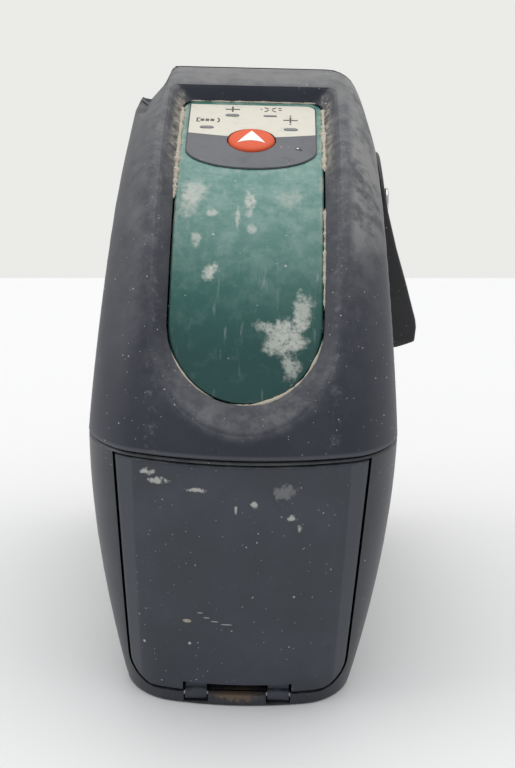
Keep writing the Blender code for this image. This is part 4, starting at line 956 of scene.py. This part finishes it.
def slit_pills(grow, low, high):
    """One slot shape in each of the four slits."""
    out = []
    for key, (x, s) in SLITS.items():
        h = SLOPE_SLIT_H if key == "slope" else SLIT_H
        out.append(pill_bm(SLIT_W + grow, h + grow, low, high, panel_matrix(x, s, RECESS_DEPTH)))
    return out


def panel_cutters(grow):
    r = BUTTON_R + 0.3
    hole = turned_bm([(0, -5), (r, -5), (r, 4), (0, 4)], 96, BUTTON_TURN)
    return [hole] + slit_pills(grow, -4, 3)


def top_insert():
    loop = capsule(INSERT_HALF, INSERT_LOW, INSERT_HIGH, CORNER_R, INSERT_HALF * OVAL, 220, 100)
    middle = np.array([0.0, (INSERT_LOW + INSERT_HIGH) / 2])
    soft, rings = 0.6, []
    inset = shrink(loop, soft)
    for t in np.linspace(0.04, 0.97, 26):
        rings.append(panel_loop(middle + (inset - middle) * t, RECESS_DEPTH))
    for a in np.linspace(0, np.pi / 2, 7):
        rings.append(panel_loop(shrink(loop, soft * (1 - math.sin(a))),
                                RECESS_DEPTH + soft * (1 - math.cos(a))))
    for t in np.linspace(1.0, 0.04, 8):
        rings.append(panel_loop(middle + (loop - middle) * t, RECESS_DEPTH + INSERT_T))
    ob = piece("green_insert", rings_bm(rings), "green_plastic", ["top_insert"])
    return cut(ob, merged(*panel_cutters(0.3)))


def sheet_bm(x, low, high, top, under, rows=10):
    """Thin layer on the panel between two curves low(x) and high(x), top and under sunk below it."""
    t = np.linspace(0, 1, rows)
    xx = np.broadcast_to(x[:, None], (len(x), rows))
    ss = low[:, None] * (1 - t) + high[:, None] * t
    return slab_bm(*(panel_point(xx, ss, depth) for depth in (top, under)))


LABEL_TOP = RECESS_DEPTH - 0.3
LABEL_UNDER = RECESS_DEPTH - 0.12
LABEL_SIDE = 79.6                 # where the label's sides turn into its round lower end
SPLIT_SIDE, SPLIT_MID = 87.2, 85.2


def label_low(x, half=LABEL_HALF, low=LABEL_LOW):
    t = np.clip(np.abs(x) / half, 0, 1)
    return LABEL_SIDE - (LABEL_SIDE - low) * np.sqrt(np.maximum(1 - t ** 2.15, 0))


def label_high(x, half=LABEL_HALF, high=LABEL_HIGH):
    """Square at the top left, rounded at the top right."""
    r = 2.2
    u = np.clip((x - half + r) / r, 0, 1)
    return high - r * (1 - np.sqrt(np.maximum(1 - u * u, 0)))


def label_split(x):
    return SPLIT_MID + (SPLIT_SIDE - SPLIT_MID) * np.abs(x / LABEL_HALF) ** 1.3


def columns(half, n):
    """Columns across the label, closer together at its sides."""
    return half * np.sin(np.linspace(-1, 1, n) * np.pi / 2)


def layer(name, bm, finish, replaced=(), body="housing"):
    return finish_mesh(name, bm, FINISH[finish], body, 30, replaced)


def flat_bm(loops, turn, low, high):
    """Small flat shapes on the plane of the panel, from closed outlines."""
    parts = []
    for loop in loops:
        bm = bmesh.new()
        a = [bm.verts.new((x, y, low)) for x, y in loop]
        b = [bm.verts.new((x, y, high)) for x, y in loop]
        bm.faces.new(a[::-1])
        bm.faces.new(b)
        for i in range(len(loop)):
            j = (i + 1) % len(loop)
            bm.faces.new((a[i], a[j], b[j], b[i]))
        bmesh.ops.transform(bm, matrix=turn, verts=bm.verts)
        parts.append(bm)
    return merged(*parts)


def bar(x, y, w, h):
    return [(x - w / 2, y - h / 2), (x + w / 2, y - h / 2), (x + w / 2, y + h / 2), (x - w / 2, y + h / 2)]


def dash(a, b, w):
    """Short line from a to b, w wide."""
    a, b = Vector(a), Vector(b)
    side = Vector((-(b - a).y, (b - a).x)).normalized() * w / 2
    return [tuple(a - side), tuple(b - side), tuple(b + side), tuple(a + side)]


def arc_band(cx, cy, r, a0, a1, w, n=10):
    a = np.radians(np.linspace(a0, a1, n))
    out = [(cx + (r + w / 2) * math.cos(v), cy + (r + w / 2) * math.sin(v)) for v in a]
    return out + [(cx + (r - w / 2) * math.cos(v), cy + (r - w / 2) * math.sin(v)) for v in a[::-1]]


def label():
    rim = 0.28
    x = columns(LABEL_HALF + rim, 61)
    line = sheet_bm(x, label_low(x, LABEL_HALF + rim, LABEL_LOW - rim),
                    label_high(x, LABEL_HALF + rim, LABEL_HIGH + rim), RECESS_DEPTH - 0.24, LABEL_UNDER, 24)
    cut(layer("label_outline", line, "label_line"), merged(*panel_cutters(0.3)))
    x = columns(LABEL_HALF, 61)
    cream = sheet_bm(x, label_split(x), label_high(x), LABEL_TOP, LABEL_UNDER, 16)
    cut(layer("label_upper", cream, "label_film", replaced=["control_label"]), merged(*panel_cutters(0.25)))
    grey = sheet_bm(x, label_low(x), label_split(x) - 0.02, LABEL_TOP, LABEL_UNDER, 16)
    cut(layer("label_lower", grey, "label_grey"), panel_cutters(0.25)[0])

    def spot(px, ps):
        return panel_matrix(px, ps, LABEL_TOP)

    w, low, high = 0.42, -0.04, 0.05
    cell = [bar(-2.45, 0, w * 0.8, 1.9), bar(-2.15, 0.8, 0.8, 0.32), bar(-2.15, -0.8, 0.8, 0.32),
            bar(-1.25, 0, 0.85, 1.1), bar(-0.1, 0, 0.85, 1.1), bar(1.05, 0, 0.85, 1.1),
            arc_band(0.9, 0, 1.75, -38, 38, w * 0.8)]
    layer("icon_cell", flat_bm(cell, spot(-10.3, 93.6), low, high), "ink")
    cross = [bar(0, 0, 0.42, 2.7), bar(-0.95, -0.1, 1.45, 0.42), bar(0.95, -0.1, 1.45, 0.42)]
    layer("icon_cross", flat_bm(cross, spot(-4.7, 99.4), low, high), "ink")
    slope = [dash((-1.4, 1.1), (-0.5, 0.35), w * 0.8), dash((0.3, -0.3), (1.2, -1.05), w * 0.8),
             dash((-1.4, -1.05), (-0.5, -0.3), w * 0.8), dash((0.3, 0.35), (1.2, 1.1), w * 0.8),
             bar(2.1, 0.9, 0.75, w * 0.8), bar(2.2, -0.1, 0.75, w * 0.8), bar(-2.2, 0.2, 0.45, w * 0.7)]
    layer("icon_slope", flat_bm(slope, spot(4.2, 99.5), low, high), "ink")
    plumb = cross + [bar(0, 2.1, 0.42, 0.42), bar(0, -2.1, 0.42, 0.42)]
    layer("icon_plumb", flat_bm(plumb, spot(8.8, 94.4), low, high), "ink")
    a = np.linspace(0, 2 * np.pi, 25)[:-1]
    drop = [(0.62 * math.cos(v), 0.5 * math.sin(v)) for v in a]
    layer("icon_drop", flat_bm([drop, dash((0.1, -0.2), (0.9, -0.75), 0.32)], spot(10.5, 80.4), low, high),
          "label_line")
    layer("icon_drop_light", flat_bm([[(0.5 * px, 0.45 * py) for px, py in drop]], spot(10.45, 80.4),
                                     low + 0.03, high + 0.03), "white_ink")


ARROW_COLUMNS, ARROW_ROWS = 33, 12


def dome_height(r):
    return np.interp(r, [p[0] for p in DOME], [p[1] for p in DOME])


def mode_button():
    face = DOME + [(BUTTON_R, -2.35), (BUTTON_R + 1.2, -2.35), (BUTTON_R + 1.2, -3.0), (2.0, -3.0),
                   (2.0, -4.5), (0, -4.5)]
    piece("push_button", turned_bm(face, 96, BUTTON_TURN), "red_rubber", ["mode_button"], "button", 40)
    half, foot, tip = 3.1, -2.35, 3.2      # the arrow, from the middle of the dome
    t = np.linspace(-1, 1, ARROW_COLUMNS)
    low = foot + 0.8 * (1 - t * t)
    high = np.maximum(foot + 0.1 + (tip - foot) * (1 - np.abs(t)), low + 0.06)
    v = np.linspace(0, 1, ARROW_ROWS)
    x = np.broadcast_to((t * half)[:, None], (ARROW_COLUMNS, ARROW_ROWS))
    y = low[:, None] * (1 - v) + high[:, None] * v
    z = dome_height(np.hypot(x, y))
    bm = slab_bm(*(np.stack([x, y, z + lift], -1) for lift in (0.07, -0.03)))
    bmesh.ops.transform(bm, matrix=BUTTON_TURN, verts=bm.verts)
    layer("button_arrow", bm, "white_ink", body="button")


def light_guide():
    ob = piece("pip_guide", box_bm((-13.0, 3.6, -4.9), (12.0, 15.0, -3.9), BUTTON_TURN, 0.15),
               "clear_plastic", ["light_guide"])
    cut(ob, merged(*slit_pills(0.0, -4.2, 0.36)), "UNION")
    layer("pip_faces", merged(*slit_pills(-0.06, 0.3, 0.4)), "pip")


# ---- sealant left round the insert -------------------------------------------------------------
def bead(name, path, radius, seed):
    """Uneven bead of dried filler along points (x, s) in the gap round the insert."""
    rng = np.random.default_rng(seed)
    p = panel_loop(path, RECESS_DEPTH + 0.1)
    n = len(p)
    rough = np.convolve(rng.normal(size=n + 8), np.ones(5) / 5, "same")[4:n + 4]
    size = radius * np.clip(0.85 + 0.6 * rough, 0.2, 1.5)
    size *= np.minimum(1, np.minimum(np.arange(n), np.arange(n)[::-1]) / 6 + 0.1)
    t = np.gradient(p, axis=0)
    t /= np.linalg.norm(t, axis=1)[:, None]
    up = panel_normal(path[:, 1])
    side = np.cross(t, up)
    rings = []
    for i in range(n):
        k = 1 + 0.12 * rng.normal(size=10)
        rings.append([tuple(p[i] + size[i] * max(k[j], 0.4) * (math.cos(a) * side[i] * 1.25
                                                              + math.sin(a) * up[i] * 0.8))
                      for j, a in enumerate(np.linspace(0, 2 * np.pi, 10, endpoint=False))])
    return finish_mesh(name, rings_bm(rings), FINISH["caulk"], "housing", 60, ())


def filler():
    edge = INSERT_HALF + 0.25
    for name, side, high, low, n, radius, seed in (("left", -edge, 101.0, 62.0, 160, 0.55, 3),
                                                   ("right", edge, 101.2, 72.0, 120, 0.6, 5),
                                                   ("right_low", edge, 60.0, 34.0, 110, 0.28, 8)):
        s = np.linspace(high, low, n)
        bead("filler_" + name, np.stack([0 * s + side, s], -1), radius, seed)
    x = np.linspace(-edge + 0.2, edge - 0.3, 120)
    bead("filler_top", np.stack([x, 0 * x + INSERT_HIGH + 0.2], -1), 0.26, 11)
    loop = capsule(edge, INSERT_LOW - 0.25, INSERT_HIGH, CORNER_R, edge * OVAL, 400, 60)
    foot = loop[(loop[:, 1] < 27) & (loop[:, 0] > -3)]
    bead("filler_foot_right", foot[::2], 0.3, 17)
    foot = loop[(loop[:, 1] < 24) & (loop[:, 0] < -6)]
    bead("filler_foot_left", foot[::2], 0.2, 23)


# ---- lock lever --------------------------------------------------------------------------------
HUB_R = 11.5


def lever_outline():
    """Outline in (y, z): a round hub that runs down into a narrower fin."""
    cy, cz = PIVOT[1:]
    pts = [(cy + HUB_R * math.cos(math.radians(a)), cz + HUB_R * math.sin(math.radians(a)))
           for a in range(-10, 191, 5)]
    fin = [(9.6, 84), (8.2, 72), (7.6, 65.0), (6.4, 62.6), (4.0, 61.8)]      # half width, height
    return pts + [(cy - half, z) for half, z in fin] + [(cy + half, z) for half, z in fin[::-1]]


def lever_outer(z):
    return np.interp(z, (62.3, 64.4, 68, 70, 79, 88, 97, 102, 109),
                     (35.6, 40.1, 40.3, 40.0, 37.3, 34.4, 31.9, 30.9, 29.8))


def lock_lever():
    cy, cz = PIVOT[1:]
    loop = spread(lever_outline(), 200)
    middle = np.array([cy, 82.0])
    soft, rings = 0.7, []
    inset = shrink(loop, soft)

    def outer(p, sink):
        return np.stack([lever_outer(p[:, 1]) - sink, p[:, 0], p[:, 1]], -1)

    def inner(p):
        return np.stack([half_width(p[:, 1]) + LEVER_GAP, p[:, 0], p[:, 1]], -1)

    for t in np.linspace(0.05, 0.96, 16):
        rings.append(outer(middle + (inset - middle) * t, 0.0))
    for a in np.linspace(0, np.pi / 2, 6):
        rings.append(outer(shrink(loop, soft * (1 - math.sin(a))), soft * (1 - math.cos(a))))
    for t in np.linspace(1.0, 0.05, 8):
        rings.append(inner(middle + (loop - middle) * t))
    ob = piece("lever_grip", rings_bm(rings), "lever_plastic", ["lock_lever"], "lock", 30)
    cut(ob, merged(rod_bm(3.05, (25, cy, cz), (31.0, cy, cz), 64),
                   rod_bm(3.4, (31.6, cy, cz), (45, cy, cz), 64)))
    cut(ob, rod_bm(1.3, (30, cy, cz), (36, cy, cz), 40))
    turn = Matrix.Translation((0, cy, cz)) @ Matrix.Rotation(math.pi / 2, 4, "Y")
    head = [(0, 26.7), (1.15, 26.7), (1.15, 31.75), (2.9, 31.75), (3.1, 31.9), (3.1, 32.25), (2.95, 32.45),
            (2.5, 32.58), (1.6, 32.64), (0, 32.65)]
    screw = piece("grip_screw", turned_bm(head, 64, turn), "steel", ["lever_screw"], "lock")
    for size in ((0.42, 1.7), (1.7, 0.42)):
        cut(screw, box_bm((32.1, cy - size[0], cz - size[1]), (36, cy + size[0], cz + size[1])))


# ---- threaded tripod insert --------------------------------------------------------------------
def tripod_insert():
    """Brass insert with a real helical thread of 1.27 mm pitch in its bore."""
    pitch, n, root, crest, low, high = 1.27, 48, 3.17, 2.62, 0.3, 10.0
    rows = 72
    heights = np.linspace(low, high, rows)
    rings = []
    for h in heights[::-1]:
        ring = []
        for i in range(n):
            phase = (h / pitch - i / n) % 1.0
            wave = abs(phase * 2 - 1)
            ends = min(1.0, (h - low) / 0.7, (high - h) / 0.7)
            r = root - (root - crest) * min(max((wave - 0.15) / 0.7, 0.0), 1.0) * max(ends, 0.0)
            a = 2 * math.pi * i / n
            ring.append((r * math.cos(a), r * math.sin(a), h))
        rings.append(ring)
    for r, h in ((5.8, low), (6.0, 0.5), (6.0, 3.6), (5.5, 3.9), (5.5, 5.4), (6.0, 5.7), (6.0, 9.8),
                 (5.8, high)):
        rings.append(circle(r, h, n))
    bm = rings_bm(rings, wrap=True)
    bmesh.ops.translate(bm, vec=(0, TRIPOD_Y, 0), verts=bm.verts)
    piece("threaded_insert", bm, "brass", ["tripod_insert"], smooth=30)


# ---- nodes shown as they are, with finishes and softened edges ---------------------------------
CARRIED = {
    "steel": ["mode_switch", "lever_shaft", "pitch_pin_left", "pitch_pin_right", "roll_shaft",
              *(f"battery_spring_{k}" for k in (1, 2, 3)), "contact_bottom_pair",
              "contact_bottom_single", "contact_top_single", "contact_top_pair",
              *(f"housing_screw_{k}" for k in (1, 2, 3, 4)), "door_hinge_pin"],
    "white_plastic": ["led_battery", "led_cross", "led_slope", "led_plumb", "lock_arm"],
    "circuit_board": ["main_board"],
    "rubber": ["lever_seal", "lock_pad"],
    "black_gloss": ["power_microswitch"],
    "zinc": ["chassis", "gimbal_ring"],
    "brass": ["pitch_bearing_left", "pitch_bearing_right", "roll_bearing_rear", "roll_bearing_front",
              "horizontal_laser", "vertical_laser"],
    "aluminium": ["pendulum_body"],
    "copper": ["damping_plate"],
    "clear_plastic": ["horizontal_line_lens", "vertical_line_lens"],
    "magnet": ["damping_magnet_rear", "damping_magnet_front"],
    "charcoal_plastic": ["battery_tray"],
    "cell_wrap": ["battery_1", "battery_2", "battery_3"],
}
SOFTENED = {"chassis": 0.25, "gimbal_ring": 0.3, "pendulum_body": 0.3, "battery_tray": 0.15,
            "mode_switch": 0.12, "main_board": 0.08, "lock_arm": 0.2, "power_microswitch": 0.15}


def carry():
    for finish, names in CARRIED.items():
        for name in names:
            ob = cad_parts[name]
            ob.data.materials.clear()
            ob.data.materials.append(FINISH[finish])
            if name in SOFTENED:
                mod = ob.modifiers.new("soft_edges", "BEVEL")
                mod.width, mod.segments, mod.limit_method = SOFTENED[name] * MM, 2, "ANGLE"
                mod.angle_limit = math.radians(40)


# ---- floor, light and camera -------------------------------------------------------------------
def stage():
    near, side, far_left, far_right = -0.9, 1.2, 0.1764, 0.3916
    bm = bmesh.new()
    bm.faces.new([bm.verts.new(p) for p in ((-side, near, 0), (side, near, 0), (side, far_right, 0),
                                            (-side, far_left, 0))])
    mesh = bpy.data.meshes.new("table")
    bm.to_mesh(mesh)
    bm.free()
    table = bpy.data.objects.new("table", mesh)
    bpy.context.scene.collection.objects.link(table)
    look = Look("table_white", (0.80, 0.80, 0.80), 0.6)
    look.paint(look.times(look.noise(60, 3, 0.5), 0.12), (0.72, 0.73, 0.75))
    mesh.materials.append(look.done())

    def lamp(name, place, aim, size, power):
        data = bpy.data.lights.new(name, "AREA")
        data.shape, data.size, data.size_y, data.energy = "RECTANGLE", size[0], size[1], power
        ob = bpy.data.objects.new(name, data)
        bpy.context.scene.collection.objects.link(ob)
        ob.location = place
        ob.rotation_euler = (Vector(aim) - Vector(place)).to_track_quat("-Z", "Y").to_euler()

    lamp("ceiling", (0.1, 0.25, 1.3), (0, -0.05, 0.05), (1.6, 1.4), 10.0)
    lamp("left_window", (-1.1, -0.1, 0.75), (0, 0, 0.06), (0.8, 0.9), 3.0)

    world = bpy.data.worlds.new("studio")
    world.use_nodes = True
    bpy.context.scene.world = world
    tree = world.node_tree
    ground = tree.nodes["Background"]
    where = tree.nodes.new("ShaderNodeTexCoord")
    split = tree.nodes.new("ShaderNodeSeparateXYZ")
    tree.links.new(where.outputs["Generated"], split.inputs[0])
    ramp = tree.nodes.new("ShaderNodeMapRange")
    ramp.interpolation_type = "SMOOTHSTEP"
    for key, value in (("From Min", -0.75), ("From Max", 0.1), ("To Min", 0.0)):
        ramp.inputs[key].default_value = value
    tree.links.new(split.outputs[1], ramp.inputs["Value"])
    mix = tree.nodes.new("ShaderNodeMix")
    mix.data_type = "RGBA"
    mix.inputs[6].default_value = (0.46, 0.48, 0.52, 1)
    mix.inputs[7].default_value = (0.83, 0.83, 0.81, 1)
    tree.links.new(ramp.outputs["Result"], mix.inputs[0])
    tree.links.new(mix.outputs[2], ground.inputs["Color"])
    ground.inputs["Strength"].default_value = 1.0


def camera():
    """At the photo's angle, slightly above and square on to the user's side."""
    tilt, yaw, roll = np.radians((20.0, -0.2, 1.37))
    ahead = Vector((math.sin(yaw) * math.cos(tilt), math.cos(yaw) * math.cos(tilt), -math.sin(tilt)))
    right = Vector((math.cos(yaw), -math.sin(yaw), 0))
    up = right.cross(ahead)
    right2 = right * math.cos(roll) + up * math.sin(roll)
    up2 = -right * math.sin(roll) + up * math.cos(roll)
    data = bpy.data.cameras.new("camera")
    data.sensor_fit, data.sensor_width, data.lens = "AUTO", 36.0, 72.4
    data.clip_start, data.clip_end = 0.01, 20.0
    ob = bpy.data.objects.new("camera", data)
    bpy.context.scene.collection.objects.link(ob)
    turn = Matrix((right2, up2, -ahead)).transposed().to_4x4()
    turn.translation = Vector((3.88, -344.0, 181.0)) * MM
    ob.matrix_world = turn
    bpy.context.scene.camera = ob


upper_housing()
window_bezel()
lower_housing()
battery_door()
top_insert()
label()
mode_button()
light_guide()
filler()
lock_lever()
tripod_insert()
carry()
stage()
camera()
bpy.context.scene.view_settings.view_transform = "Standard"
